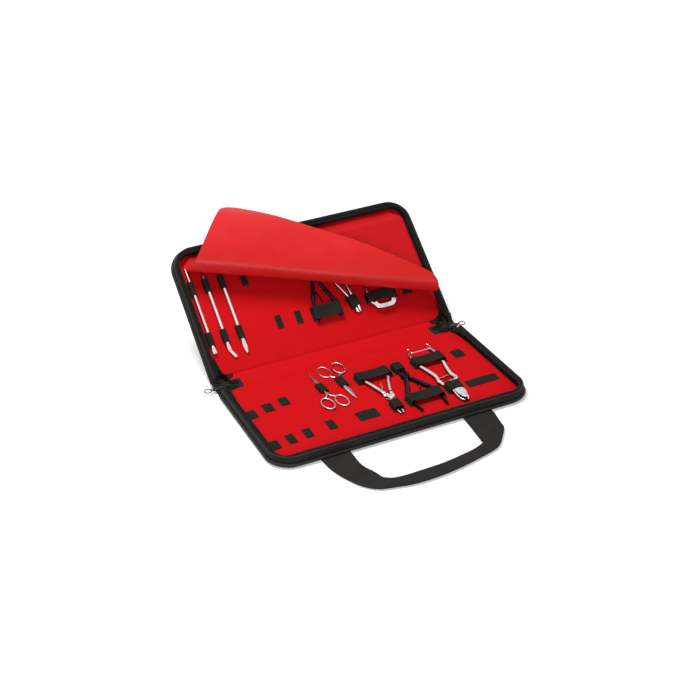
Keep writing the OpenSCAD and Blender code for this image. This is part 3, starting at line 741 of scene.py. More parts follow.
    def ride(
        self,
        name: str,
        finish: Finish,
        slot: str,
        body: str,
        replaces: Sequence[str] = (),
        sharp: float = 45.0,
    ) -> bpy.types.Object:
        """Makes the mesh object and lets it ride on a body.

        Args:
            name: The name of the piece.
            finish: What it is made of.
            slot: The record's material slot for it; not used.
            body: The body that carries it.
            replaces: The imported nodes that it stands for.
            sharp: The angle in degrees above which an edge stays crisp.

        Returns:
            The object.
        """
        made = self.piece(name, finish, sharp)
        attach(made, body)
        if replaces:
            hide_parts(*replaces)
        return made


def dress_node(name: str, finish: Finish) -> None:
    """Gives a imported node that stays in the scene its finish."""
    node = frame["nodes"][name]
    node.data.materials.clear()
    node.data.materials.append(finish.material())


@dataclass(frozen=True)
class Rim:
    """The line that the edge of a half follows, from one side of the fold round to the other."""

    start: float
    step: float = 5.0

    def stations(self) -> tuple[Array, Array, Array]:
        """Walks round the three free sides.

        Returns:
            The outline's points, the directions inward from it, and the distance walked.
        """
        w, far, r = SIZES.case_w / 2, SIZES.half_d, SIZES.corner_r
        sides = max(2, round((far - r - self.start) / self.step))
        front = max(2, round((2 * w - 2 * r) / self.step))
        left = [(-w, v) for v in np.linspace(self.start, far - r, sides, endpoint=False)]
        turn = np.radians(np.linspace(180, 90, 13))
        arc = [(-w + r + r * math.cos(a), far - r + r * math.sin(a)) for a in turn]
        middle = [(x, far) for x in np.linspace(-w + r, 0, front // 2 + 1)[1:-1]]
        first = np.array(left + arc + middle)
        second = first[::-1] * np.array([-1, 1])
        points = np.vstack([first, [[0, far]], second])
        ahead = headings(points)
        inward = np.column_stack([ahead[:, 1], -ahead[:, 0]])
        return points, inward, along(points)

    def drawn(self, points: Array, inset: Array) -> Array:
        """Draws insets that lie past the wall outward where the rim turns its two corners.

        Args:
            points: The stations of the outline.
            inset: One inset or a row of them.

        Returns:
            The insets at each station, one row for each.
        """
        r = SIZES.corner_r
        across = np.clip(np.abs(points[:, 0]) - SIZES.case_w / 2 + r, 0, r) / r
        ahead = np.clip(points[:, 1] - SIZES.half_d + r, 0, r) / r
        turn = 2 * across * ahead
        flat = np.atleast_1d(inset)[None]
        return flat - 0.5 * np.maximum(flat - 5.0, 0) * turn[:, None]

    def line(self, inset: float, height: float) -> Array:
        """A line at a given inset and height."""
        points, inward, _ = self.stations()
        return np.column_stack([points + inward * self.drawn(points, inset), np.full(len(points), height)])

    def sweep(self, draft: Draft, profile: Array, soft: float = 0.0, narrowed: bool = False) -> None:
        """Runs a closed profile round the rim.

        Args:
            draft: The piece that receives the faces.
            profile: A closed loop of inset and height.
            soft: How uneven the padding is, in millimetres.
            narrowed: Whether the profile draws in at the corners.
        """
        points, inward, run = self.stations()
        waves = soft * (np.sin(run / 27 + 0.7) + 0.6 * np.sin(run / 11.3 + 2.0) + 0.4 * np.sin(run / 6.1))
        push = np.sin(np.linspace(0, math.tau, len(profile), endpoint=False))
        inset = self.drawn(points, profile[:, 0]) if narrowed else profile[None, :, 0]
        inset = inset + waves[:, None] * 0.5 * push[None]
        height = profile[None, :, 1] + waves[:, None] * 0.35 * smoothstep(profile[None, :, 1], 3, 9)
        flat = points[:, None] + inward[:, None] * inset[..., None]
        rings = np.concatenate([flat, height[..., None]], axis=-1)
        girth = along(np.vstack([profile, profile[:1]]))[:-1]
        grain = np.zeros(rings.shape)
        grain[..., 0] = run[:, None]
        grain[..., 1] = girth[None]
        draft.loft(rings, grain)


@dataclass
class Panel:
    """A flat soft panel of one half with round corners."""

    width: float
    near: float
    far: float
    far_round: float
    near_round: float = 0.0

    def rows(self) -> list[tuple[float, float]]:
        """The rows of the panel, as distance from the fold and half width."""
        w, far_r, near_r = self.width / 2, self.far_round, self.near_round
        found: list[tuple[float, float]] = []
        if near_r > 0:
            for a in np.radians(np.linspace(90, 0, 9)):
                found.append((self.near + near_r - near_r * math.sin(a), w - near_r + near_r * math.cos(a)))
        else:
            found += [(self.near + k, w) for k in (0.0, 0.6, 1.6, 3.2)]
        start = found[-1][0]
        end = self.far - far_r
        found += [(v, w) for v in np.linspace(start, end, 16)[1:]]
        for a in np.radians(np.linspace(0, 90, 11))[1:]:
            found.append((self.far - far_r + far_r * math.sin(a), w - far_r + far_r * math.cos(a)))
        return found

    def grids(self, top: float, under: float, drop: float, soft: float, uneven: float) -> tuple[Array, Array]:
        """Makes the panel's two sides.

        Args:
            top: The height of its face.
            under: The height of its back.
            drop: How far the face falls at its edge.
            soft: The width of that fall.
            uneven: The size of the unevenness of the face.

        Returns:
            The face and the back as grids of points.
        """
        face = []
        edge = np.array([0.0, 0.5, 1.3, 2.4, 4.0, 7.0])
        for v, w in self.rows():
            inner = np.linspace(-w + 7.0, w - 7.0, 40)[1:-1]
            x = np.concatenate([-w + edge, inner, (w - edge)[::-1]])
            gap = np.minimum(w - np.abs(x), np.minimum(self.far - v, v - self.near) + 0 * x)
            fall = drop * (1 - smoothstep(gap, -0.4, soft))
            waves = ripple(x, v + 0 * x, uneven) * smoothstep(gap, 0, 12)
            face.append(np.column_stack([x, np.full(len(x), v), top - fall + waves]))
        upper = np.array(face)
        lower = upper.copy()
        lower[..., 2] = under
        return upper, lower


@dataclass
class CaseHalf:
    """One half of the case: its fabric shell, piping, padded wall, zip and red lining."""

    half: Half
    near_round: float
    pad: float
    wall_near: float = 5.5
    piping_near: float = 3.0
    rim_top: float = 13.2
    seam_insets: tuple[float, float] = (7.0, 5.4)
    teeth_inset: float = 9.9
    tooth_pitch: float = 1.5
    backing_inset: float = 7.3

    @property
    def body(self) -> str:
        """The body that carries this half."""
        return self.half.value

    def shell(self) -> None:
        """Makes the outer fabric of the broad side, slightly padded."""
        draft = Draft(self.half)
        rim = Panel(SIZES.case_w - 3.2, 9.0, SIZES.half_d - 1.6, SIZES.corner_r - 1.6)
        face, back = rim.grids(0.0, 1.25, -1.15, 3.0, 0.0)
        x, v = face[..., 0], face[..., 1]
        gap = np.minimum(SIZES.case_w / 2 - np.abs(x), np.minimum(SIZES.half_d - v, v - 4.0))
        face[..., 2] -= self.pad * smoothstep(gap, 3, 45) + ripple(x, v, 0.10 * min(1.0, self.pad))
        draft.slab(face, back)
        draft.ride(f"{self.body}_outer_fabric", NYLON, "black_fabric", self.body, [f"{self.body}_skin"])

    def wall(self) -> None:
        """Makes the padded side wall with its bound top edge and the piping below it."""
        rim = Rim(self.wall_near)
        profile = smooth_path(
            [(4.7, 1.35), (3.6, 3.4), (3.0, 6.0), (2.4, 8.4), (2.3, 10.6), (3.0, 12.3), (4.3, self.rim_top),
             (5.6, 13.15), (6.3, 11.8), (6.8, 6.0), (7.05, 1.3)],
            1.0,
            closed=True,
        )
        draft = Draft(self.half)
        rim.sweep(draft, profile, 0.28)
        made = draft.ride(f"{self.body}_padded_wall", NYLON, "black_fabric", self.body, [f"{self.body}_wall"])
        angles = np.arange(12) * math.tau / 12
        radius = SIZES.piping_r
        ring = np.column_stack([radius + radius * np.cos(angles), 1.25 + radius + radius * np.sin(angles)])
        draft = Draft(self.half)
        Rim(self.piping_near).sweep(draft, ring)
        bead = np.column_stack([3.5 + 0.75 * np.cos(angles), 13.05 + 0.6 * np.sin(angles)])
        rim.sweep(draft, bead)
        draft.ride(f"{self.body}_piping_cord", PIPING, "piping", self.body, [f"{self.body}_piping"])

    def zip_edge(self) -> None:
        """Makes the zip tape that folds inward, its stitching and its teeth."""
        rim = Rim(SIZES.fold_h + self.wall_near)
        upper = [(4.8, 13.2), (5.8, 13.25), (7.2, 13.0), (8.4, 12.8), (9.4, 12.65)]
        under = [(9.4, 12.05), (8.4, 12.1), (7.2, 12.35), (5.8, 12.5), (4.8, 12.4)]
        tape = np.array(upper + under)
        draft = Draft(self.half)
        rim.sweep(draft, tape, 0.16, narrowed=True)
        draft.ride(f"{self.body}_zip_ribbon", TAPE, "zip_tape", self.body, [f"{self.body}_zip_tape"])
        sewing = Draft(self.half)
        for inset, level in zip(self.seam_insets, (self.rim_top, self.rim_top + 0.2)):
            sewing.stitches(rim.line(inset, level), 2.3, 1.0, 0.2)
        sewing.ride(f"{self.body}_rim_stitches", BLACK_THREAD, "zip_tape", self.body)
        teeth = Draft(self.half)
        line = rim.line(self.teeth_inset, 12.55)
        wide = np.array([0.30, 0.46, 0.42, 0.5, 0.3])
        crown = np.array([12.95, 13.2, 13.2, 13.2, 12.95])
        for start in np.arange(0.8, along(line)[-1] - 0.5, self.tooth_pitch):
            spot = resample(line, np.array([start, start + 0.02]))
            ahead = unit(spot[1] - spot[0])[:2]
            side = np.array([ahead[1], -ahead[0]])
            path = np.array([spot[0, :2] + side * k for k in (-1.0, -0.85, 0.0, 0.85, 1.0)])
            teeth.bar(path, wide, np.full(5, 11.95), crown, 4.0, 8)
        teeth.ride(f"{self.body}_zip_teeth", TEETH, "zip_teeth", self.body, [f"{self.body}_zip_coil"])

    def lining(self) -> None:
        """Makes the padded red lining."""
        draft = Draft(self.half)
        inset = SIZES.lining_inset
        near = 13.5 if self.half is Half.BASE else 8.6
        panel = Panel(SIZES.case_w - 2 * inset, near, SIZES.half_d - inset, 16.0, self.near_round)
        draft.slab(*panel.grids(SIZES.panel_h + 0.1, SIZES.board_h + 0.25, 0.7, 2.2, 0.10))
        draft.ride(f"{self.body}_red_lining", LINING, "red_lining", self.body, [f"{self.body}_lining"], 60)
        dress_node(f"{self.body}_board", BOARD)

    def backing(self) -> None:
        """Makes the dark cloth that covers the board below the lining."""
        draft = Draft(self.half)
        inset = self.backing_inset
        panel = Panel(SIZES.case_w - 2 * inset, 3.2, SIZES.half_d - inset, SIZES.corner_r - inset)
        draft.slab(*panel.grids(SIZES.board_h + 0.2, SIZES.board_h + 0.02, 0.0, 1.0, 0.0))
        draft.ride(f"{self.body}_inner_backing", NYLON, "black_fabric", self.body)

    def make(self) -> None:
        """Makes every piece of this half."""
        self.shell()
        self.wall()
        self.zip_edge()
        self.lining()
        self.backing()


@dataclass
class Spine:
    """The soft strip between the halves, with its two folds and the closed ends of the zip."""

    inner_w: float = 296.0
    tilt_round: float = 17.0
    middle: float = 12.0
    tail_w: float = 9.0
    gore_w: float = 6.4
    gusset_x: float = 154.4

    def strip(
        self, name: str, path: Array, widths: Array, thick: float, finish: Finish, slot: str
    ) -> bpy.types.Object:
        """Lays a band of cloth across a fold.

        Args:
            name: The name of the piece.
            path: Rows of y and z along the upper face, in the spine's frame.
            widths: The half width at each of them.
            thick: The thickness of the cloth, downward.
            finish: What it is made of.
            slot: The record's material slot; not used.

        Returns:
            The object, with no body yet.
        """
        ahead = headings(path)
        down = np.column_stack([ahead[:, 1], -ahead[:, 0]])
        edge = np.linspace(0.93, 1, 4)
        share = np.concatenate([-edge[::-1], np.linspace(-0.9, 0.9, 46), edge])
        top = np.zeros((len(path), len(share), 3))
        top[..., 0] = widths[:, None] * share[None]
        top[..., 1] = path[:, None, 0]
        top[..., 2] = path[:, None, 1] + ripple(top[..., 0], top[..., 1] * 3, 0.05)
        under = top.copy()
        under[..., 1] += thick * down[:, None, 0]
        under[..., 2] += thick * down[:, None, 1]
        grain = top.copy()
        grain[..., 1] = along(path)[:, None]
        draft = Draft(Half.SPINE)
        draft.slab(top, under, grain)
        return draft.piece(name, finish)

    def linings(self) -> None:
        """Makes the red strips that run over both folds."""
        w = self.inner_w / 2
        rise = [(-15, 4.3), (-12, 5.0), (-7, 4.95), (-3, 4.7), (-0.8, 4.3)]
        dip = [(0, 3.7), (0.8, 3.9), (4, 3.7), (8, 3.4), (12.2, 3.3)]
        first = smooth_path(rise + dip, 1.2)
        made = self.strip("spine_lining_base_side", first, np.full(len(first), w), 1.1, LINING, "red_lining")
        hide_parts("spine_lining")
        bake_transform(made)
        lid_points = [lid_in_spine(0, v, h)[1:] for v, h in ((6.0, 4.75), (7.8, 4.35), (9.6, 4.1))]
        second = smooth_path([(12, 3.3), (16, 3.6), (20, 4.7), (23.5, 6.5)] + lid_points, 1.1)
        narrow = w - 1.0 - self.tilt_round * smoothstep(second[:, 0], 15, 27)
        made = self.strip("spine_lining_lid_side", second, narrow, 1.1, LINING, "red_lining")
        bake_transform(made)

    def outer_skin(self) -> None:
        """Makes the outer fabric that runs under both folds."""
        w = SIZES.case_w / 2 - 2.5
        first = smooth_path([(-10, 1.3), (-7, 1.2), (0, 1.2), (6, 1.2), (12.1, 1.2)], 1.5)
        made = self.strip("spine_skin_base_side", first, np.full(len(first), w), 1.2, NYLON, "black_fabric")
        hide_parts("spine_skin")
        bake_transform(made)
        far = [lid_in_spine(0, v, 1.2)[1:] for v in (1.5, 6, 10.5)]
        second = smooth_path([(12, 1.2), (17, 1.2), (21.5, 1.5)] + far, 1.5)
        made = self.strip("spine_skin_lid_side", second, np.full(len(second), w), 1.2, NYLON, "black_fabric")
        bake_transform(made)
        dress_node("spine_board", BOARD)

    def ribbon(self, draft: Draft, path: Array, width: float, lean: Point) -> None:
        """Lays a flat ribbon along a path in space.

        Args:
            draft: The piece that receives the faces.
            path: The middle of the ribbon.
            width: Its width.
            lean: A direction across the ribbon at its start and its end, six numbers.
        """
        share = (along(path) / along(path)[-1])[:, None]
        across = unit(np.array(lean[:3])[None] * (1 - share) + np.array(lean[3:])[None] * share)
        across = unit(across - headings(path) * np.sum(across * headings(path), axis=1, keepdims=True))
        up = np.cross(headings(path), across)
        up *= np.where(up[:, 2:] < 0, -1, 1)
        upper = [(-0.5, 0.0), (-0.47, 0.35), (0, 0.42), (0.47, 0.35)]
        ring = smooth_path(upper + [(-a, -b) for a, b in upper], 1.0, closed=True)
        rings = path[:, None] + across[:, None] * ring[None, :, :1] * width + up[:, None] * ring[None, :, 1:]
        draft.loft(rings)

    def tape_tail(self, name: str, path: Sequence[Point], lean: Point) -> bpy.types.Object:
        """Makes a length of zip tape that leaves a rim beside a slider.

        Args:
            name: The name of the piece.
            path: The points of its middle.
            lean: A direction across the tape at its start and its end, six numbers.

        Returns:
            The object, with no body yet.
        """
        draft = Draft(Half.SPINE)
        self.ribbon(draft, smooth_path(path, 1.6), self.tail_w, lean)
        return draft.piece(name, TAPE)

    def zip_ends(self) -> None:
        """Makes the tape that leaves both rims, and the gores that close the corners beside the sliders."""
        for side, name in ((-1, "left"), (1, "right")):
            rim = ((152, 30, 12.6), (150.6, 20, 12), (148, 12, 9.6), (143, 6, 7.0))
            path = [lid_in_spine(side * x, v, h) for x, v, h in rim]
            path += [(side * 136, 18.5, 5.6), (side * 128, 15.5, 4.5)]
            lean = (side, 0.1, 0.1, side * 0.4, 1, 0.1)
            made = self.tape_tail(f"zip_tail_lid_{name}", path, lean)
            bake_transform(made)
            path = [(side * 152, -30, 12.6), (side * 151.6, -18, 11.6), (side * 150.4, -9, 9.2),
                    (side * 148, -1, 6.6), (side * 143, 5, 5.0), (side * 134, 9, 4.4)]
            lean = (side, 0.1, 0.1, side * 0.5, -1, 0.1)
            made = self.tape_tail(f"zip_tail_base_{name}", path, lean)
            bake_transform(made)
            rim = ((156.0, 10, 11.2), (156.2, 6, 9.4), (156.4, 2.5, 7.0))
            path = [lid_in_spine(side * x, v, h) for x, v, h in rim]
            path += [(side * 156.6, 20.4, 5.6), (side * 156.6, 17.2, 4.6)]
            draft = Draft(Half.SPINE)
            self.ribbon(draft, smooth_path(path, 1.4), self.gore_w, (side, 0.1, 0.1, side, 0.1, 0.1))
            made = draft.piece(f"zip_gore_{name}", NYLON)
            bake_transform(made)

    def gussets(self) -> None:
        """Makes the low soft walls at both ends of the spine, beside the slider."""
        draft = Draft(Half.SPINE)
        for side in (-1, 1):
            for y0, y1 in ((1.6, 7.0), (17.0, 22.4)):
                path = np.array([(side * self.gusset_x, y) for y in np.linspace(y0, y1, 8)])
                bulge = np.sin(np.linspace(0.5, math.pi - 0.5, 8))
                top = 4.2 + 1.9 * bulge
                draft.bar(path, 2.9 + 0.9 * bulge, np.full(8, 1.25), top, 2.6, 14, (1.0, 1.0))
        draft.ride("spine_end_gussets", NYLON, "black_fabric", "spine", ["spine_gussets"])

    def end_patches(self) -> None:
        """Makes the fabric patches sewn over the ends of the zip, and the tape stems below the sliders."""
        draft = Draft(Half.SPINE)
        sewing = Draft(Half.SPINE)
        share = np.linspace(0, 1, 15)
        for side in (-1, 1):
            corners = [(124.5, 2.7), (149, 1.6), (150.4, 21.5), (124.5, 21.3)]
            loop = [np.array((side * x, y)) for x, y in corners]
            top = []
            for s in np.linspace(0, 1, 13):
                a, b = loop[0] * (1 - s) + loop[3] * s, loop[1] * (1 - s) + loop[2] * s
                row = np.array([a * (1 - t) + b * t for t in share])
                edge = np.minimum(min(s, 1 - s) * 18, np.minimum(share, 1 - share) * 24)
                puff = 0.75 * smoothstep(edge, -0.6, 2.2)
                waves = 0.25 * np.sin(row[:, 0] / 5) * smoothstep(edge, 0, 6)
                climb = np.interp(row[:, 1], [12, 16, 20, 23.5], [0, 0.25, 1.3, 3.0])
                top.append(np.column_stack([row, 3.55 + puff + waves + climb]))
            upper = np.array(top)
            lower = upper.copy()
            lower[..., 2] = 3.3
            draft.slab(upper, lower)
            for ends in (((126, 4.4), (147.6, 3.2)), ((126, 14.0), (126, 4.4))):
                line = np.array([(side * x, y, 4.28) for x, y in ends])
                sewing.stitches(smooth_path(line, 2), 2.0, 0.9, 0.2)
        draft.ride("zip_end_patches", NYLON, "black_fabric", "spine", ["zip_end_tabs"])
        sewing.ride("zip_end_stitches", BLACK_THREAD, "zip_tape", "spine")
        stem = Draft(Half.SPINE)
        tooth_w = np.array([0.3, 0.45, 0.4, 0.45, 0.3])
        for side in (-1, 1):
            path = np.array([(side * x, self.middle) for x in np.linspace(147.5, 157.6, 8)])
            stem.bar(path, np.full(8, 3.0), np.full(8, 1.2), np.full(8, 3.2), 4.0, 14, (0.0, 1.5))
            for x in np.arange(149.4, 157.0, 1.5):
                path = np.array([(side * x, self.middle + k) for k in (-1.7, -1.5, 0.0, 1.5, 1.7)])
                stem.bar(path, tooth_w, np.full(5, 2.6), np.full(5, 3.24), 4.0, 8)
        stem.ride("zip_closed_stems", TAPE, "zip_tape", "spine", ["zip_stubs"])

    def sliders(self) -> None:
        """Makes the two zip sliders with their wire bails, and dresses the ring pulls."""
        plate_x = np.array([149.6, 150.4, 152.0, 155.0, 158.0, 160.0, 161.6, 162.4])
        plate_w = np.array([1.9, 2.4, 3.3, 3.5, 3.3, 2.6, 1.8, 1.2])
        post_w = np.array([0.7, 1.0, 1.1, 1.1, 1.0, 0.7])
        arch = ((152.8, 5.7), (153.2, 6.5), (155, 6.95), (158, 6.9), (160.2, 6.4), (160.8, 5.6))
        bend = np.radians(np.linspace(-90, 90, 15))
        y, bail_r = self.middle, 1.9
        for side, name in ((-1, "left"), (1, "right")):
            draft = Draft(Half.SPINE)
            path = np.column_stack([side * plate_x, np.full(8, y)])
            for low, high in ((3.26, 4.0), (5.05, 5.85)):
                draft.bar(path, plate_w, np.full(8, low), np.full(8, high), 4.0, 16, (0.6, 0.8))
            post = np.column_stack([side * np.linspace(157.4, 162.2, 6), np.full(6, y)])
            draft.bar(post, post_w, np.full(6, 3.6), np.full(6, 5.5), 3.0, 12)
            draft.cord(smooth_path([(side * x, y, z) for x, z in arch], 0.7), 0.42, 8)
            bail = [(side * (162.4 + bail_r * math.cos(a)), y, 4.55 + bail_r * math.sin(a)) for a in bend]
            draft.cord(np.array(bail), 0.36, 8)
            draft.ride(f"zip_slider_body_{name}", PAINTED_ZIP, "zip_metal", "spine", [f"zip_slider_{name}"])
            dress_node(f"zip_pull_{name}", PULL_METAL)

    def make(self) -> None:
        """Makes every piece of the spine."""
        self.linings()
        self.outer_skin()
        self.zip_ends()
        self.gussets()
        self.end_patches()
        self.sliders()


@dataclass
class Flap:
    """The soft cover flap, sewn at the lid's far edge and rolled back over itself on a slant.

    The sheet climbs over the tools, turns in a roll, leaves it at the exit angle and then sags at the
    droop radius. The roll's drop is how far it lies below the sewn edge, at the left and at the right.
    """

    half_w: float = 145.0
    length: float = 154.0
    thick: float = 0.8
    roll_r: float = 13.0
    exit_deg: float = 18.0
    droop_r: float = 84.0
    corner_r: float = 24.0
    sewn_cut: float = 14.0
    sewn_v: float = 165.6
    low_h: float = 6.3
    over_tools: float = 12.45
    rise_l: float = 18.0
    roll_drop: tuple[float, float] = (23.6, 126.6)

    def __post_init__(self) -> None:
        """Works out the line of the roll."""
        left, right = self.sewn_v - self.roll_drop[0], self.sewn_v - self.roll_drop[1]
        self.fold_dir = unit(np.array([2 * self.half_w, right - left]))
        self.fold_up = np.array([-self.fold_dir[1], self.fold_dir[0]])
        self.fold_start = np.array([-self.half_w, left]) + self.fold_up * self.roll_r
        self.axis_h = self.over_tools + self.roll_r
        self.arc = self.roll_r * math.radians(180 - self.exit_deg)

    def outline(self) -> Array:
        """The outline of the flat sheet, counter-clockwise from the left sewn corner."""
        w, r, v, cut = self.half_w, self.corner_r, self.sewn_v, self.sewn_cut
        low = v - self.length + r
        left = [(-w + r + r * math.cos(a), low + r * math.sin(a)) for a in np.radians(np.arange(180, 271, 6))]
        right = [(w - r + r * math.cos(a), low + r * math.sin(a)) for a in np.radians(np.arange(270, 361, 6))]
        return np.array([(-w + cut, v), (-w, v - cut), *left, *right, (w, v - cut), (w - cut, v)])

    def place(self, k: Array, t: Array) -> Array:
        """Finds where points of the sheet lie.

        Args:
            k: The distance past the start of the roll.
            t: The distance along the roll.

        Returns:
            Rows of x, v and h in the lid's frame.
        """
        turn = k / self.roll_r
        past = k - self.arc
        leave = math.radians(self.exit_deg)
        head = leave - past / self.droop_r
        flat = self.fold_start + np.outer(t, self.fold_dir) - np.outer(k, self.fold_up)
        rise = smoothstep(self.sewn_v - flat[:, 1], 0, self.rise_l)
        low_h = self.low_h + (self.over_tools - self.low_h) * rise
        roll, droop, axis = self.roll_r, self.droop_r, self.axis_h
        free_across = -math.sin(leave) * roll + droop * (math.sin(leave) - np.sin(head))
        free_height = axis + math.cos(leave) * roll + droop * (np.cos(head) - math.cos(leave))
        rolled = k < self.arc
        across = np.where(k <= 0, -k, np.where(rolled, -np.sin(turn) * roll, free_across))
        height = np.where(k <= 0, low_h, np.where(rolled, axis - np.cos(turn) * roll, free_height))
        base = self.fold_start + np.outer(t, self.fold_dir) + across[:, None] * self.fold_up
        return np.column_stack([base, height])

    def softness(self, k: Array, t: Array) -> Array:
        """The soft waves of the hanging sheet, in millimetres out of its plane."""
        free = smoothstep(k, self.arc * 0.4, self.arc + 50)
        wave = 1.6 * np.sin(t / 46 + k / 70 + 0.5) + 0.7 * np.sin(t / 21 - k / 33)
        roll = smoothstep(k, 0, 12) * (1 - free)
        return free * wave + roll * 0.5 * np.sin(t / 33 + 1.1)

    def make(self) -> None:
        """Makes the sheet in one piece, from the part that lies on the lid round the roll to the folded back
        part.
        """
        outline = self.outline() - self.fold_start
        edge = np.column_stack([outline @ self.fold_dir, -(outline @ self.fold_up)])
        lows, highs = edge[:, 1].min() + 0.3, edge[:, 1].max() - 0.3
        rows = np.concatenate([
            np.linspace(lows, -2.0, 40),
            np.linspace(0.0, self.arc, 22),
            np.linspace(self.arc, highs, 44)[1:],
        ])
        share = np.linspace(0, 1, 61)
        share = 0.5 - 0.5 * np.cos(share * math.pi) * (0.55 + 0.45 * np.cos(share * math.pi) ** 2)
        middle, grain = [], []
        for k in rows:
            crossings = []
            for a, b in zip(edge, np.roll(edge, -1, axis=0)):
                if (a[1] - k) * (b[1] - k) <= 0 and a[1] != b[1]:
                    crossings.append(a[0] + (b[0] - a[0]) * (k - a[1]) / (b[1] - a[1]))
            t = min(crossings) + (max(crossings) - min(crossings)) * share
            spot = self.place(np.full(len(t), k), t)
            middle.append(spot)
            grain.append(np.column_stack([t, np.full(len(t), k), 0 * t]))
        middle, grain = np.array(middle), np.array(grain)
        normal = unit(np.cross(np.gradient(middle, axis=1), np.gradient(middle, axis=0)))
        lift = np.array([self.softness(g[:, 1], g[:, 0]) for g in grain])
        middle = middle + normal * lift[..., None]
        normal = unit(np.cross(np.gradient(middle, axis=1), np.gradient(middle, axis=0)))
        draft = Draft(Half.LID)
        draft.slab(middle + normal * self.thick / 2, middle - normal * self.thick / 2, grain)
        made = draft.piece("cover_flap", FLAP, 70)
        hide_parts("flap_sewn_part", "flap_free_part")
        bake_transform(made)
        self.seam()

    def seam(self) -> None:
        """Makes the bound edge that holds the flap to the lining, with its stitches."""
        draft = Draft(Half.LID)
        reach = self.half_w - 15
        path = np.array([(x, self.sewn_v - 2.2) for x in np.linspace(-reach, reach, 60)])
        draft.bar(path, np.full(60, 3.0), np.full(60, 5.0), np.full(60, 5.78), 3.0, 12, (2.0, 2.0))
        draft.ride("flap_sewn_binding", LINING, "red_lining", "lid", ["flap_seam"])
        sewing = Draft(Half.LID)
        ends = [(side * (self.half_w - 16), self.sewn_v - 2.4, 6.92) for side in (-1, 1)]
        sewing.stitches(smooth_path(ends, 6), 2.4, 1.1, 0.22)
        sewing.ride("flap_stitches", RED_THREAD, "red_lining", "lid")


@dataclass
class Handle:
    """The carrying handle of flat webbing, with its grip folded in half."""

    front: float = SIZES.half_d

    def stations(self) -> Array:
        """The handle's course.

        Returns:
            Rows of the outer and inner edge, the underside, the top and how square the section is.
        """
        leg, grip = (0.5, 2.7, 6.0), (0.4, 5.3, 3.2)
        rows = [
            (-106, 172.5, -71.4, 172.5, 0.4, 1.3, 6.0), (-106, 176.5, -71.5, 176.5, 0.4, 1.7, 6.0),
            (-105.6, 184, -71.8, 184, *leg), (-104.6, 196, -72.2, 194, 0.5, 3.0, 6.0),
            (-102.2, 207, -71.8, 204, *leg), (-97.6, 221, -69.8, 213.3, *leg),
            (-90.4, 237.5, -66.6, 221, 0.5, 3.0, 5.0), (-82.5, 248.5, -64.2, 229.5, 0.5, 3.6, 4.5),
            (-73.5, 255.4, -62.8, 237.5, 0.4, 4.4, 4.0), (-64.0, 258.6, -59.2, 242.4, 0.4, 5.0, 3.5),
            (-54.0, 261.0, -53.0, 246.0, *grip), (-38.9, 264.2, -40.5, 247.4, *grip),
            (-20, 265.0, -20.4, 247.0, *grip), (2, 263.6, 2.2, 246.2, *grip),
            (25, 259.5, 22, 243.6, *grip), (48, 254.0, 44, 239.2, *grip),
            (66, 248.8, 58.6, 233.4, 0.4, 5.2, 3.4), (76.5, 242.6, 61.4, 230.8, 0.4, 5.4, 3.6),
            (87, 229.8, 62.6, 229.6, 0.5, 5.2, 4.0), (95.2, 218.6, 62.2, 228.8, 0.5, 4.9, 5.0),
            (97.6, 213.2, 62.0, 227.8, 0.5, 4.4, 5.0), (98.2, 211.0, 62.4, 225.0, 0.5, 2.9, 6.0),
            (99.4, 203, 63.8, 212, *leg), (101.2, 192, 65.4, 196, 0.5, 3.0, 6.0),
            (102.8, 183, 66.4, 184, *leg), (103.4, 176.5, 67, 176.5, 0.4, 1.7, 6.0),
            (103.6, 172.5, 67.2, 172.5, 0.4, 1.3, 6.0),
        ]
        return np.array(rows, float)

    def make(self) -> None:
        """Makes the webbing, its root patches and its stitching."""
        course = smooth_path(self.stations(), 3.2)
        outer, inner = course[:, 0:2], course[:, 2:4]
        low, high, power = course[:, 4], course[:, 5], np.clip(course[:, 6], 2.4, 6.0)
        middle, reach = (outer + inner) / 2, (outer - inner) / 2
        sides = 28
        angles = (np.arange(sides) + 0.5) * math.tau / sides
        rings = np.zeros((len(course), sides, 3))
        grain = np.zeros(rings.shape)
        run = along(middle)
        for i in range(len(course)):
            across, above = section(angles, power[i])
            rings[i, :, :2] = middle[i] + across[:, None] * reach[i]
            swell = 0.18 * math.sin(run[i] / 13) + 0.12 * math.sin(run[i] / 7 + 1)
            rings[i, :, 2] = (low[i] + high[i]) / 2 + above * (high[i] - low[i] + swell) / 2
            width = across * np.linalg.norm(reach[i])
            grain[i] = np.column_stack([np.full(sides, run[i]), width, 0 * across])
        rings[..., 2] = np.maximum(rings[..., 2], 0.15)
        draft = Draft(Half.BASE)
        draft.loft(rings, grain)
        made = draft.piece("handle_webbing_loop", WEBBING, 50)
        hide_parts("handle_strap")
        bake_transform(made)
        self.stitching(outer, inner, high)
        self.roots()

    def stitching(self, outer: Array, inner: Array, high: Array) -> None:
        """Sews the edge of the folded grip.

        Args:
            outer: The outer edge of the handle.
            inner: The inner edge.
            high: The height of its top.
        """
        sewing = Draft(Half.BASE)
        grip = (inner[:, 0] > -52) & (inner[:, 0] < 52) & (inner[:, 1] > 236)
        line = inner[grip] * 0.80 + outer[grip] * 0.20
        sewing.stitches(np.column_stack([line, high[grip] - 0.12]), 2.8, 1.2, 0.26)
        sewing.ride("handle_stitches", BLACK_THREAD, "webbing", "handle")

    def roots(self) -> None:
        """Makes the patches under the rim that hold the handle."""
        draft = Draft(Half.BASE)
        for x in (-88.7, 85.2):
            path = np.array([(x + s, 176.9) for s in np.linspace(-17.6, 17.6, 14)])
            draft.bar(path, np.full(14, 1.25), np.full(14, 0.3), np.full(14, 1.35), 5.0, 12, (0.6, 0.6))
        draft.ride("handle_root_patches", WEBBING, "black_fabric", "base", ["handle_anchors"])


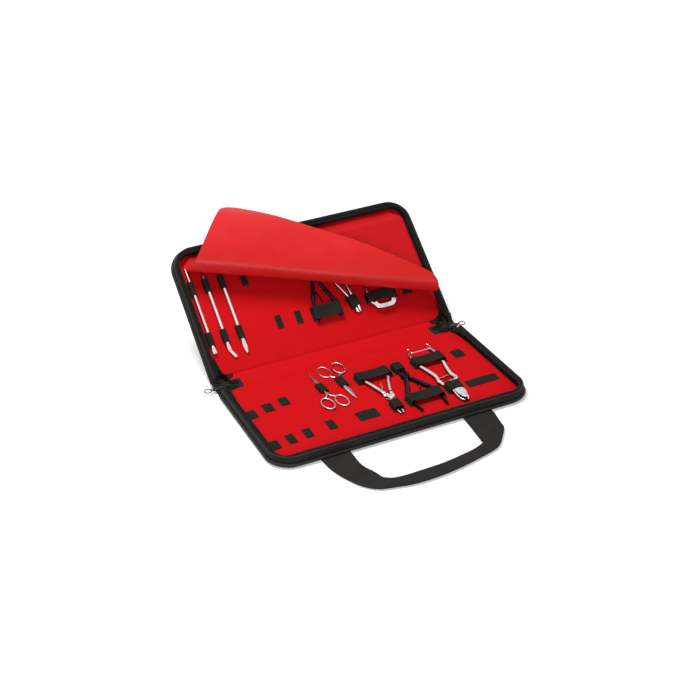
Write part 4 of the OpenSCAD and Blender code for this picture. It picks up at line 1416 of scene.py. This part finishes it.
@dataclass(frozen=True)
class Spring:
    """The leaf spring between the handles of a nipper."""

    start: Point
    end: Point
    shift: float


@dataclass
class Nipper:
    """A nipper with lapped halves, bowed handles and short jaws.

    At a turn of 0 degrees its jaws point away from the fold. A jaw is given by its length, its width and
    its width at the tip, a wire catch by its place, half width and drop, and a leaf by rows of place and
    half width. The shield is how far the lap is drawn out towards handles and jaws.
    """

    name: str
    half: Half
    x: float
    v: float
    turn: float
    handle: Sequence[Point]
    handle_w: float
    jaw: tuple[float, float, float]
    lap_r: float
    finish: Finish
    slot: str
    spring: Spring
    shield: float = 0.0
    thick: float = 6.4
    open_deg: float = 4.0
    catch: tuple[float, float, float] | None = None
    strap: Sequence[Point] | None = None
    leaf: Sequence[tuple[float, float]] | None = None

    def locate(self, flat: Array) -> Array:
        """Turns points of the tool's own frame into the half's frame."""
        return spin(flat, self.turn) + np.array([self.x, self.v])

    def levels(self, distance: Array, layer: int, low: Array, high: Array) -> tuple[Array, Array]:
        """Keeps a bar within its own layer near the pivot.

        Args:
            distance: How far each point is from the pivot.
            layer: -1 for the lower half, 1 for the upper one.
            low: The underside away from the pivot.
            high: The top away from the pivot.

        Returns:
            The underside and the top at each point, above the lining.
        """
        out = smoothstep(distance, self.lap_r - 0.2, self.lap_r + 2.6)
        middle = self.thick / 2
        lap_low, lap_high = (0.0, middle - 0.05) if layer < 0 else (middle + 0.05, self.thick)
        bottom = lap_low + (low - lap_low) * out
        top = lap_high + (high - lap_high) * out
        return bottom + SIZES.panel_h + 0.12, top + SIZES.panel_h

    def half_draft(self, layer: int) -> Draft:
        """Shapes one half: boss, handle and jaw.

        Args:
            layer: -1 for the lower half, with its handle on the left, or 1 for the upper one.

        Returns:
            The half as a draft.
        """
        side = 1 if layer < 0 else -1
        draft = Draft(self.half)
        flip = np.array([side, 1.0])
        path = smooth_path([(0.0, 0.0), *self.handle], 1.6)
        run = along(path)
        total = run[-1]
        ending = total - np.array([3, 2.2, 1.5, 0.9, 0.4, 0.12, 0.0])
        fine = np.concatenate([np.arange(0, total - 3, 1.5), ending])
        path = resample(path, fine)
        share = fine / total
        width = self.handle_w / 2 * (1.0 + 0.16 * np.sin(share * math.pi * 1.1) - 0.22 * share)
        distance = np.linalg.norm(path, axis=1)
        low, high = self.levels(distance, layer, 0.5 + 0.7 * share, self.thick - 0.5 - 1.1 * share)
        draft.bar(self.locate(path * flip), width, low, high, 2.6, 16, (0.0, 2.4))
        self.add_jaw(draft, layer, flip)
        middle = self.thick / 2
        span = (0.12, middle - 0.05) if layer < 0 else (middle + 0.05, self.thick)
        self.add_boss(draft, span, flip)
        return draft

    def add_jaw(self, draft: Draft, layer: int, flip: Array) -> None:
        """Shapes the jaw, straight along the cut and swelling outward.

        Args:
            draft: The half that receives it.
            layer: -1 for the lower half or 1 for the upper one.
            flip: The mirror of this half.
        """
        length, wide, tip = self.jaw
        y = np.concatenate([np.linspace(-1, length - 3, 16), length - np.array([2.2, 1.4, 0.7, 0.2, 0.0])])
        stations = [-1, length * 0.3, length * 0.62, length * 0.85, length]
        reaches = [wide * 0.86, wide, wide * 0.92, (wide + tip) * 0.5, tip * 0.72]
        outer = np.interp(y, stations, reaches)
        centre = np.column_stack([(outer + 0.08) / 2, y])
        taper = smoothstep(y, length * 0.35, length)
        low, high = self.levels(y, layer, 0.3 + 1.9 * taper, self.thick - 0.2 - 2.6 * taper)
        tilted = spin(centre, -self.open_deg / 2) * flip
        draft.bar(self.locate(tilted), (outer - 0.08) / 2, low, high, 3.4, 16, (0.0, 1.2))

    def add_boss(self, draft: Draft, span: tuple[float, float], flip: Array) -> None:
        """Shapes the flat lap round the pivot, drawn out towards handles and jaws.

        Args:
            draft: The half that receives it.
            span: The lowest and highest level of the lap.
            flip: The mirror of this half.
        """
        radius = self.lap_r * 0.62
        sides = 40
        angles = np.arange(sides) * math.tau / sides
        stretch = 1 + self.shield * np.abs(np.sin(angles)) ** 3
        outline = np.column_stack([np.cos(angles), np.sin(angles) * stretch]) * radius
        low, high = span[0] + SIZES.panel_h, span[1] + SIZES.panel_h
        steps = [(0.2, low), (0.93, low), (1.0, low + 0.35), (1.0, high - 0.35), (0.93, high), (0.2, high)]
        rings = [np.column_stack([self.locate(outline * k * flip), np.full(sides, h)]) for k, h in steps]
        draft.plate(np.array(rings))

    def add_spring(self, draft: Draft) -> None:
        """Shapes the leaf spring that leaves one handle and bends towards the other."""
        start = np.array(self.spring.start) + (self.spring.shift - 0.6, 0)
        end = np.array(self.spring.end) + (self.spring.shift, 0)
        ahead = unit(end - start)
        bow = (start + end) / 2 + np.array([-ahead[1], ahead[0]]) * 0.9
        path = smooth_path([start, bow, end, end + spin(ahead[None], 55)[0] * 1.6], 1.0)
        flat = self.locate(spin(path, -self.open_deg / 2))
        n = len(flat)
        base = SIZES.panel_h
        draft.bar(flat, np.full(n, 0.45), np.full(n, base + 1.7), np.full(n, base + 4.9), 5.0, 10, (0.3, 0.3))

    def add_screw(self, draft: Draft) -> None:
        """Shapes the pivot with its slotted head."""
        top = SIZES.panel_h + self.thick
        centre = (self.x, self.v)
        radius = min(2.5, self.lap_r * 0.27)
        draft.disc(centre, radius, top - 0.6, top + 0.28, 0.16, 28)
        for side in (-1, 1):
            angles = np.radians(np.linspace(8, 172, 15) * side)
            outline = np.column_stack([np.cos(angles), np.sin(angles)]) * radius * 0.84
            rings = []
            for k, h in ((1.0, top + 0.2), (1.0, top + 0.42), (0.82, top + 0.56)):
                loop = outline * k
                loop[:, 1] = side * np.maximum(np.abs(loop[:, 1]), 0.26)
                rings.append(np.column_stack([spin(loop, self.turn + 25) + centre, np.full(len(loop), h)]))
            draft.loft(np.array(rings))

    def add_catch(self, draft: Draft) -> None:
        """Shapes the wire catch across the ends of the handles."""
        y, wide, drop = self.catch
        h = SIZES.panel_h + self.thick + 0.75
        right = [(wide - 0.8, y), (wide, y - 0.8), (wide, y - drop)]
        path = smooth_path([(-a, b) for a, b in right[::-1]] + right, 0.8)
        placed = np.column_stack([self.locate(path), np.full(len(path), h)])
        draft.cord(placed, 0.7, 10)
        sleeve_w = np.array([0.8, 1.5, 1.5, 0.8])
        levels = np.full(4, h)
        for side in (-1, 1):
            ends = np.array([(side * wide, y - drop + k) for k in (-1.4, -0.7, 0.6, 1.6)])
            draft.bar(self.locate(ends), sleeve_w, levels - 0.9, levels + 0.8, 2.4, 12, (0.5, 0.5))

    def add_strap(self, draft: Draft) -> None:
        """Shapes the flat strap over the ends of the handles."""
        path = smooth_path(self.strap, 0.9)
        low = np.full(len(path), SIZES.panel_h + self.thick + 0.05)
        draft.bar(self.locate(path), np.full(len(path), 2.9), low, low + 1.3, 4.5, 16, (0.5, 0.5))

    def add_leaf(self, draft: Draft) -> None:
        """Shapes the leaf shaped shield over the jaws, with the head of its rivet."""
        rows = np.array(self.leaf, float)
        start, tip = rows[0, 0], rows[-1, 0]
        y = np.concatenate([np.linspace(start, tip - 2, 16), tip - np.array([1.2, 0.5, 0.0])])
        path = np.column_stack([0 * y, y])
        low = np.full(len(y), SIZES.panel_h + self.thick + 0.05)
        wide = np.interp(y, rows[:, 0], rows[:, 1])
        draft.bar(self.locate(path), wide, low, low + 0.8, 3.0, 20, (0.6, 0.0))
        rivet = self.locate(np.array([[2.0, start + 2.6]]))[0]
        draft.disc(rivet, 1.3, low[0] - 0.6, low[0] + 1.15, 0.3, 20)

    def make(self) -> None:
        """Makes the two halves."""
        carrier = self.half.value
        lower = self.half_draft(-1)
        if self.leaf:
            self.add_leaf(lower)
        lower.ride(f"{self.name}_lower_half", self.finish, self.slot, carrier, [f"{self.name}_fixed"], 40)
        upper = self.half_draft(1)
        upper.ride(f"{self.name}_upper_half", self.finish, self.slot, self.name, [f"{self.name}_moving"], 40)


@dataclass
class Scissors:
    """Small nail scissors with oval finger rings.

    At a turn of 0 degrees the blades point away from the fold. The ring's size is half its outer width
    and half its outer length, and a blade is given by its length and width.
    """

    name: str
    x: float
    v: float
    turn: float
    ring: Point
    ring_size: tuple[float, float]
    shank: Sequence[Point]
    blade: tuple[float, float]
    wire_r: float = 0.9
    blade_t: float = 1.4

    def half_draft(self, upper: bool) -> Draft:
        """Shapes one half: finger ring, shank and blade.

        Args:
            upper: Whether this is the half that lies on top.

        Returns:
            The half as a draft.
        """
        draft = Draft(Half.BASE)
        flip = np.array([-1.0 if upper else 1.0, 1.0])
        base = SIZES.panel_h + 0.1
        stack = 2 * self.blade_t + 0.05
        low, high = (stack - self.blade_t, stack) if upper else (0.0, self.blade_t)
        level = stack - self.wire_r if upper else self.wire_r
        centre = (self.x, self.v)

        def place(flat: Array) -> Array:
            """Puts points of the tool's own frame into the half's frame."""
            return spin(flat * flip, self.turn) + centre

        ring = np.array(self.ring, float)
        reach = np.array(self.ring_size) - self.wire_r
        angles = np.arange(44) * math.tau / 44
        loop = ring + reach * np.column_stack([np.cos(angles), np.sin(angles)])
        raised = np.column_stack([place(loop), np.full(len(loop), base + level)])
        draft.cord(raised, self.wire_r, 12, looped=True)
        top = (ring[0] + 1.6, ring[1] + reach[1] * 0.97)
        path = smooth_path([top, *self.shank, (0, 0)], 1.2)
        share = np.linspace(0, 1, len(path))
        width = 0.95 + 0.25 * share**2
        rise = 0.2 * (1 - share)
        under, over = (rise, 0 * rise) if upper else (0 * rise, rise)
        draft.bar(place(path), width, base + low - under, base + high + over, 2.6, 14, (0.6, 0.0))
        draft.disc(centre, 3.4, base + low, base + high, 0.3, 32)
        length, wide = self.blade
        y = np.concatenate([np.linspace(-2.0, length - 3, 18), length - np.array([2, 1.2, 0.5, 0.1])])
        stations = [-2, 3, length * 0.4, length * 0.8, length]
        outer = np.interp(y, stations, [2.7, 3.0, wide * 0.56, wide * 0.34, 0.35])
        inner = np.interp(y, [-2, length * 0.4, length], [-1.2, -1.1, -0.35])
        blade = np.column_stack([(outer + inner) / 2, y])
        thin = smoothstep(y, length * 0.2, length) * 0.35
        if upper:
            bottoms, tops = base + low + 0 * y, base + high - thin
        else:
            bottoms, tops = base + low + thin, base + high + 0 * y
        draft.bar(place(blade), (outer - inner) / 2, bottoms, tops, 2.8, 14, (0.0, 0.6))
        return draft

    def add_screw(self, draft: Draft) -> None:
        """Shapes the small pivot screw."""
        top = SIZES.panel_h + 2 * self.blade_t + 0.1
        draft.disc((self.x, self.v), 1.9, top - 0.4, top + 0.35, 0.2, 24)

    def make(self) -> None:
        """Makes the two halves."""
        fixed, moving = [f"{self.name}_fixed"], [f"{self.name}_moving"]
        lower = self.half_draft(False)
        lower.ride(f"{self.name}_lower_half", SCISSOR_STEEL, "tool_steel", "base", fixed, 40)
        upper = self.half_draft(True)
        upper.ride(f"{self.name}_upper_half", SCISSOR_STEEL, "tool_steel", self.name, moving, 40)


class FileTip(Enum):
    """The working ends of the slim hand tools."""

    PUSHER = "file_pusher"
    BENT_BLADE = "file_bent_blade"
    LEAF = "file_leaf"


@dataclass
class HandFile:
    """A slim hand tool with a round shaft and a flat working end.

    Its stations are rows of v, offset, half width, half thickness and squareness.
    """

    tip: FileTip
    x: float
    stations: Sequence[tuple[float, float, float, float, float]]
    radius: float = 2.3

    def make(self) -> None:
        """Makes the tool as one forged bar that runs through its stations."""
        rows = np.array(self.stations, float)
        spans = zip(rows[:-1, 0], rows[1:, 0])
        distance = np.concatenate([np.linspace(a, b, 7)[:-1] for a, b in spans] + [rows[-1:, 0]])
        offset, wide, thick, power = (np.interp(distance, rows[:, 0], rows[:, i]) for i in range(1, 5))
        centre_h = SIZES.panel_h + self.radius + 0.05
        angles = (np.arange(20) + 0.5) * math.tau / 20
        rings = np.zeros((len(distance), 20, 3))
        grain = np.zeros(rings.shape)
        for i, (v, x, w, t, p) in enumerate(zip(distance, offset, wide, thick, power)):
            across, above = section(angles, p)
            rings[i] = np.column_stack([self.x + x + across * w, np.full(20, v), centre_h + above * t])
            grain[i] = np.column_stack([np.full(20, v), across * w, above])
        draft = Draft(Half.LID)
        draft.loft(rings, grain)
        name = self.tip.value
        draft.ride(f"{name}_bar", FILE_STEEL, "tool_steel", name, [name], 35)


@dataclass
class Elastics:
    """The elastic of one half: bands over the tools and empty loops, all sewn to the lining.

    A band is a row of x, lower and upper v, inner width, inner height and turn in degrees, and a loop is
    a row of x, v, width and length.
    """

    half: Half
    bands: Sequence[tuple[float, float, float, float, float, float]]
    loops: Sequence[tuple[float, float, float, float]]
    thick: float = 0.9
    gap: float = 0.3
    flare: float = 1.6
    replaced: Sequence[str] = field(default_factory=list)

    def strip(
        self, draft: Draft, path: Array, centre: Point, length: float, turn: float, pull: float
    ) -> None:
        """Stretches one strip of elastic across.

        Args:
            draft: The piece that receives the faces.
            path: Its underside across the tool, as rows of offset and height.
            centre: The x and v of its middle.
            length: Its width along the tool.
            turn: Its turn on the lining, in degrees.
            pull: How far its edges draw in at the top.
        """
        ahead = headings(path)
        out = np.column_stack([-ahead[:, 1], ahead[:, 0]])
        steps = np.linspace(-1, 1, 11)
        high = smoothstep(path[:, 1], SIZES.panel_h, path[:, 1].max())
        sides = []
        for lift in (self.thick, 0.0):
            grid = np.zeros((len(path), len(steps), 3))
            body = path + out * lift
            rounding = 0.18 * np.abs(steps) ** 8 * (1 if lift else -0.4)
            reach = length / 2 - pull * high
            flat = np.zeros((len(path), len(steps), 2))
            flat[..., 0] = body[:, None, 0]
            flat[..., 1] = reach[:, None] * steps[None]
            turned = spin(flat.reshape(-1, 2), turn).reshape(flat.shape)
            grid[..., :2] = turned + np.array(centre)
            sag = 0.22 * high[:, None] * (1 - steps[None] ** 2)
            grid[..., 2] = body[:, None, 1] - rounding[None] + sag
            sides.append(grid)
        grain = np.zeros(sides[0].shape)
        grain[..., 0] = along(path)[:, None]
        grain[..., 1] = (length / 2 * steps)[None]
        draft.slab(sides[0], sides[1], grain)

    def band(self, inside: float, high: float) -> tuple[Array, float]:
        """Shapes the course of one band across its tool.

        Args:
            inside: The width of the tool.
            high: Its height above the lining.

        Returns:
            Rows of offset and height along the band's underside, and the offset of its foot.
        """
        base = SIZES.panel_h
        w, h = inside / 2 + self.gap, base + high + self.gap
        foot = w + self.thick + (self.flare if inside > 13 else 0.5)
        dip = min(0.9, inside / 45)
        side = [(-foot, base + 0.03), (-w - 0.8, base + 0.05), (-w - 0.15, base + 0.9)]
        side += [(-w, base + high * 0.62), (-w + 0.9, h - 0.15), (-w + 3.0, h + 0.02)]
        if inside < 8:
            side = side[:-1]
        if inside < 20:
            middle = [(0.0, h - dip * 0.4)]
        else:
            middle = [(a, h - dip) for a in (-w * 0.45, 0.0, w * 0.45)]
        return smooth_path(side + middle + [(-a, b) for a, b in side[::-1]], 0.9), foot

    def make(self) -> None:
        """Makes all elastic of the half and its stitches."""
        base = SIZES.panel_h
        draft, sewing = Draft(self.half), Draft(self.half)
        for x, v0, v1, inside, high, turn in self.bands:
            path, foot = self.band(inside, high)
            centre = (x, (v0 + v1) / 2)
            length = v1 - v0
            self.strip(draft, path, centre, length, turn, 0.35)
            for s in (-1, 1):
                seam = np.array([(s * (foot - 0.9), k) for k in (-length / 2 + 1, length / 2 - 1)])
                flat = spin(seam, turn) + centre
                line = np.column_stack([flat, np.full(2, base + self.thick + 0.1)])
                sewing.stitches(smooth_path(line, 2), 1.9, 0.8, 0.22)
        for x, v, w, length in self.loops:
            half = w / 2
            rise = [(-half, base + 0.02), (-half + 0.9, base + 0.05), (-half * 0.5, base + 0.42)]
            points = rise + [(0, base + 0.55)] + [(-a, b) for a, b in rise[::-1]]
            self.strip(draft, smooth_path(points, 0.8), (x, v), length, 0.0, 0.1)
            for s in (-1, 1):
                seam_x, level = x + s * (half - 0.8), base + self.thick + 0.12
                line = np.array([(seam_x, v + k, level) for k in (1 - length / 2, length / 2 - 1)])
                sewing.stitches(smooth_path(line, 2), 1.9, 0.8, 0.22)
        draft.ride(f"{self.half.value}_elastic_bands", ELASTIC, "elastic", self.half.value, self.replaced, 50)
        sewing.ride(f"{self.half.value}_elastic_stitches", BLACK_THREAD, "elastic", self.half.value)


class ToolSet:
    """The tools of both halves, and the small parts that several of them share."""

    def nippers(self) -> list[Nipper]:
        """The six nippers, in the order of the base and then the lid."""
        return [
            Nipper(
                "cuticle_nipper", Half.BASE, x=10.8, v=107, turn=4,
                handle=[(-3.2, -7), (-5.4, -16), (-10, -32), (-15.6, -48), (-16.4, -60)],
                handle_w=4.4, jaw=(36, 3.6, 1.6), lap_r=8, finish=CHROME, slot="tool_steel",
                spring=Spring((-5.4, -16), (-1.8, -30), 2.5), shield=0.35,
            ),
            Nipper(
                "dark_nipper", Half.BASE, x=46.4, v=73, turn=180,
                handle=[(-4, -10), (-9, -23), (-15.8, -38), (-17.4, -56), (-15.6, -76)],
                handle_w=5, jaw=(34, 4.4, 1.2), lap_r=9, finish=DARK_STEEL, slot="dark_steel",
                spring=Spring((-9, -23), (-3, -40), 3.0), shield=0.2,
            ),
            Nipper(
                "toenail_nipper", Half.BASE, x=85, v=117, turn=1,
                handle=[(-7.5, -7), (-11, -12), (-9.4, -24), (-12, -42), (-15, -57), (-15.4, -80),
                        (-12.4, -90)],
                handle_w=4.8, jaw=(36, 6.6, 2.6), lap_r=11, finish=CHROME, slot="tool_steel",
                spring=Spring((-9.4, -18), (2.6, -19.6), 2.0), shield=0.1,
                catch=(-80.5, 13, 9.5),
                leaf=[(14, 5.6), (19, 6.0), (25, 5.7), (30, 4.2), (34, 2.2), (36.4, 0.5)],
            ),
            Nipper(
                "violet_nipper", Half.LID, x=6.4, v=104, turn=2,
                handle=[(-3.4, -9), (-7.6, -22), (-13.6, -40), (-14.4, -62)],
                handle_w=4.4, jaw=(33, 4.8, 1.4), lap_r=9, finish=VIOLET_STEEL, slot="dark_steel",
                spring=Spring((-7.6, -22), (-2.8, -36), 2.6), shield=0.3,
            ),
            Nipper(
                "corner_nipper", Half.LID, x=44.4, v=57.2, turn=193,
                handle=[(-2.4, -8), (-4.4, -20), (-7, -36), (-7.6, -56)],
                handle_w=3.2, jaw=(15.6, 3.4, 1.4), lap_r=7, finish=CHROME, slot="tool_steel",
                spring=Spring((-5, -20), (-1.6, -30), 2.0), shield=0.2,
            ),
            Nipper(
                "heavy_nipper", Half.LID, x=82, v=121, turn=0,
                handle=[(-7, -7), (-9.6, -14), (-10.4, -30), (-14.6, -50), (-15.4, -66), (-13, -75)],
                handle_w=5, jaw=(22, 6.2, 2.4), lap_r=11, finish=CHROME, slot="tool_steel",
                spring=Spring((-10.4, -30), (-3, -34), 2.8), shield=0.1,
                strap=[(-12.9, -72.2), (-12.4, -74.0), (-10.9, -77.2), (-7.4, -79.4), (0, -79.8),
                       (7.4, -79.4), (10.9, -77.2), (12.5, -74.0), (13.0, -72.2)],
            ),
        ]

    def scissors(self) -> list[Scissors]:
        """The two pairs of scissors."""
        return [
            Scissors(
                "scissors_curved", x=-23.2, v=50, turn=0, ring=(-9.1, -32.8), ring_size=(7.9, 13.6),
                shank=[(-2.2, -16), (-0.6, -8)], blade=(38, 6.4),
            ),
            Scissors(
                "scissors_fine", x=-49.4, v=49, turn=178, ring=(-8.9, -35), ring_size=(7.6, 13),
                shank=[(-2.2, -18), (-0.6, -9)], blade=(38, 3),
            ),
        ]

    def files(self) -> list[HandFile]:
        """The three slim hand tools."""
        r = HandFile.radius
        pusher = [
            (35.9, 0, 2.2, 0.8, 4), (36.4, 0, 2.7, 1.3, 4), (41.5, 0, 2.7, 1.3, 4), (44.5, 0, 1.9, 1.6, 3),
            (46, 0, r, r, 2), (149.4, 0, r, r, 2), (151.2, 0, 1.7, 1.7, 2), (152, 0, 0.9, 0.9, 2),
        ]
        bent_blade = [
            (26.0, 4.7, 1.6, 0.5, 4), (28.4, 3.9, 2.2, 0.8, 4), (35.4, 0.4, 2.2, 0.8, 4),
            (35.8, 0.2, 2.3, 1.3, 4), (42, 0, 2.4, 1.4, 3), (45, 0, 1.9, 1.7, 2.4), (47, 0, r, r, 2),
            (136, 0, r, r, 2), (140.2, 0, 1.4, 1.4, 2), (141, 0, 0.8, 0.8, 2),
        ]
        leaf = [
            (28.0, 0, 0.5, 0.3, 2), (29.2, 0, 1.3, 0.5, 3), (32, 0, 2.1, 0.7, 3.4), (37, 0, 2.7, 0.8, 3.4),
            (44, 0, 2.3, 1.2, 3), (47, 0, r, 1.8, 2.2), (49, 0, r, r, 2), (131.4, 0, r, r, 2),
            (132, 0, 1.5, 1.5, 2),
        ]
        return [
            HandFile(FileTip.PUSHER, -143, pusher),
            HandFile(FileTip.BENT_BLADE, -124.5, bent_blade),
            HandFile(FileTip.LEAF, -105, leaf),
        ]

    def make(self) -> None:
        """Makes every tool with its pivots, springs and catches."""
        small: dict[tuple[Half, bool, str], Draft] = {}
        for nipper in self.nippers():
            nipper.make()
            dark = nipper.slot == "dark_steel"
            nipper.add_screw(small.setdefault((nipper.half, dark, "pivot_screws"), Draft(nipper.half)))
            nipper.add_spring(small.setdefault((nipper.half, dark, "leaf_springs"), Draft(nipper.half)))
            if nipper.catch or nipper.strap:
                catch = Draft(nipper.half)
                if nipper.catch:
                    nipper.add_catch(catch)
                else:
                    nipper.add_strap(catch)
                name, replaced = f"{nipper.name}_end_catch", [f"{nipper.name}_catch"]
                catch.ride(name, CHROME, "tool_steel", nipper.half.value, replaced)
        for pair in self.scissors():
            pair.make()
            pair.add_screw(small[(Half.BASE, False, "pivot_screws")])
        for tool in self.files():
            tool.make()
        nodes = {"pivot_screws": "tool_pivots", "leaf_springs": "nipper_springs"}
        for (half, dark, kind), draft in small.items():
            body = half.value
            name = f"{body}_dark_{kind}" if dark else f"{body}_{kind}"
            finish = DARK_STEEL if dark else CHROME
            replaced = [] if dark else [f"{body}_{nodes[kind]}"]
            draft.ride(name, finish, "dark_steel" if dark else "tool_steel", body, replaced, 35)


@dataclass
class Studio:
    """The pale floor, the soft lamps and the camera.

    Angles are in degrees, the camera's offset in millimetres in its own axes and the rest in metres.
    """

    azimuth: float = -23.14086
    elevation: float = 29.86176
    roll: float = -2.96746
    lens: float = 72.72
    offset: Point = (7.91911, 16.41701, 1695.75334)
    floor_reach: float = 6.0
    floor_z: float = -0.0002
    fill: float = 0.22
    lamp_aim: Point = (0, 0.1, 0.05)

    def camera(self) -> None:
        """Sets the camera at the viewing angle."""
        a, e, r = (math.radians(k) for k in (self.azimuth, self.elevation, self.roll))
        back = Vector((math.sin(a) * math.cos(e), -math.cos(a) * math.cos(e), math.sin(e)))
        right = Vector((math.cos(a), math.sin(a), 0))
        up = back.cross(right)
        c, s = math.cos(r), math.sin(r)
        axes = Matrix((c * right + s * up, c * up - s * right, back))
        spot = axes.transposed() @ Vector(self.offset) * MM + Vector((0, SIZES.half_d / 2 * MM, 0))
        data = bpy.data.cameras.new("photo_camera")
        data.lens = self.lens
        data.sensor_width = 36.0
        data.clip_end = 50.0
        made = bpy.data.objects.new("photo_camera", data)
        made.matrix_world = Matrix.Translation(spot) @ axes.transposed().to_4x4()
        bpy.context.scene.collection.objects.link(made)
        bpy.context.scene.camera = made

    def floor(self) -> None:
        """Lays a pale floor that keeps the shadow of the case and looks white far from it."""
        mesh = bpy.data.meshes.new("studio_floor")
        signs = ((-1, -1), (1, -1), (1, 1), (-1, 1))
        corners = [(a * self.floor_reach, b * self.floor_reach, self.floor_z) for a, b in signs]
        mesh.from_pydata(corners, [], [(0, 1, 2, 3)])
        paper = bpy.data.materials.new("studio_paper")
        graph = NodeGraph(paper)
        graph.tree.nodes.clear()
        place = graph.node("ShaderNodeTexCoord").outputs["Object"]
        away = graph.node("ShaderNodeVectorMath", {0: place}, operation="LENGTH").outputs["Value"]
        # Painted light: seen rays get a glow that rises with the distance from the case, so the far floor
        # shows white while the near floor keeps the shadow.
        level = graph.span(away, 0.4, 1.6, 0.32, 0.9)
        glow = graph.node("ShaderNodeEmission", {"Strength": graph.math("MULTIPLY", graph.seen(), level)})
        matt = graph.node("ShaderNodeBsdfDiffuse", {"Color": (0.80, 0.80, 0.80, 1.0)})
        total = graph.node("ShaderNodeAddShader", {0: matt.outputs[0], 1: glow.outputs[0]})
        graph.node("ShaderNodeOutputMaterial", {"Surface": total.outputs[0]})
        mesh.materials.append(paper)
        made = bpy.data.objects.new("studio_floor", mesh)
        bpy.context.scene.collection.objects.link(made)

    def world(self) -> None:
        """Fills the room with soft light, seen as white."""
        world = bpy.data.worlds.new("studio_world")
        bpy.context.scene.world = world
        graph = NodeGraph(world)
        back = graph.tree.nodes["Background"]
        back.inputs["Color"].default_value = (1, 1, 1, 1)
        graph.feed(back.inputs["Strength"], graph.span(graph.seen(), 0.0, 1.0, self.fill, 1.0))

    def lamp(self, name: str, spot: Point, size: float, power: float) -> None:
        """Hangs one soft square lamp that faces the case."""
        data = bpy.data.lights.new(name, "AREA")
        data.size = size
        data.energy = power
        made = bpy.data.objects.new(name, data)
        made.location = spot
        made.rotation_euler = (Vector(self.lamp_aim) - Vector(spot)).to_track_quat("-Z", "Y").to_euler()
        bpy.context.scene.collection.objects.link(made)

    def make(self) -> None:
        """Sets up the room."""
        self.camera()
        self.floor()
        self.world()
        self.lamp("key_lamp", (-0.35, 0.38, 1.65), 0.6, 27.0)
        self.lamp("front_lamp", (-0.3, -1.55, 0.5), 0.6, 12.0)
        bpy.context.scene.view_settings.view_transform = "Standard"


BASE_BANDS = [
    (14.1, 45, 63, 40, 6.4, 0), (46.4, 115, 133, 41, 6.4, 0), (86.6, 45, 63, 37, 6.4, 0),
    (9.4, 117.5, 135, 9.8, 6.4, 4), (46.4, 45.5, 62, 10.2, 6.4, 0), (84.9, 113.5, 130, 15.8, 6.4, 1),
    (-23.2, 37, 58, 7.8, 2.85, 0), (-49.4, 40, 58, 7.6, 2.85, -2),
]
BASE_LOOPS = [
    (-141, 62, 11, 17), (-119.5, 57, 12, 17), (-98.5, 53, 11, 17), (-141, 132, 10, 17), (-121, 129, 10, 18),
    (-100, 127, 9.5, 18), (-70.5, 124, 9.5, 18), (-26, 124, 25, 18), (126.5, 53, 14, 17), (122, 121, 40, 14),
]
LID_BANDS = [
    (8.1, 45, 63, 35, 6.4, 0), (44.5, 49.2, 65.2, 10.4, 6.4, 13), (82, 50, 63, 37, 6.4, 0),
    *[(x, v, v + 18, 5.2, 4.6, 0) for x in (-143.2, -124.7, -105) for v in (46, 114)],
]
LID_LOOPS = [(-77.5, 119, 8, 15), (-54, 56.5, 8, 17), (-28.5, 56, 8, 17), (118, 55, 13, 10)]


def main() -> None:
    """Builds the case from the outside in, then the tools and the room."""
    logging.basicConfig(level=logging.INFO, format="%(name)s: %(message)s")
    CaseHalf(Half.BASE, near_round=0.0, pad=0.0).make()
    CaseHalf(Half.LID, near_round=17.0, pad=1.6).make()
    Spine().make()
    Handle().make()
    ToolSet().make()
    base_elastic = ["base_tool_loops", "base_wide_bands", "base_small_bands"]
    Elastics(Half.BASE, BASE_BANDS, BASE_LOOPS, replaced=base_elastic).make()
    Elastics(Half.LID, LID_BANDS, LID_LOOPS, replaced=["lid_tool_loops", "lid_bands"]).make()
    Flap().make()
    Studio().make()


if __name__ == "__main__":
    main()
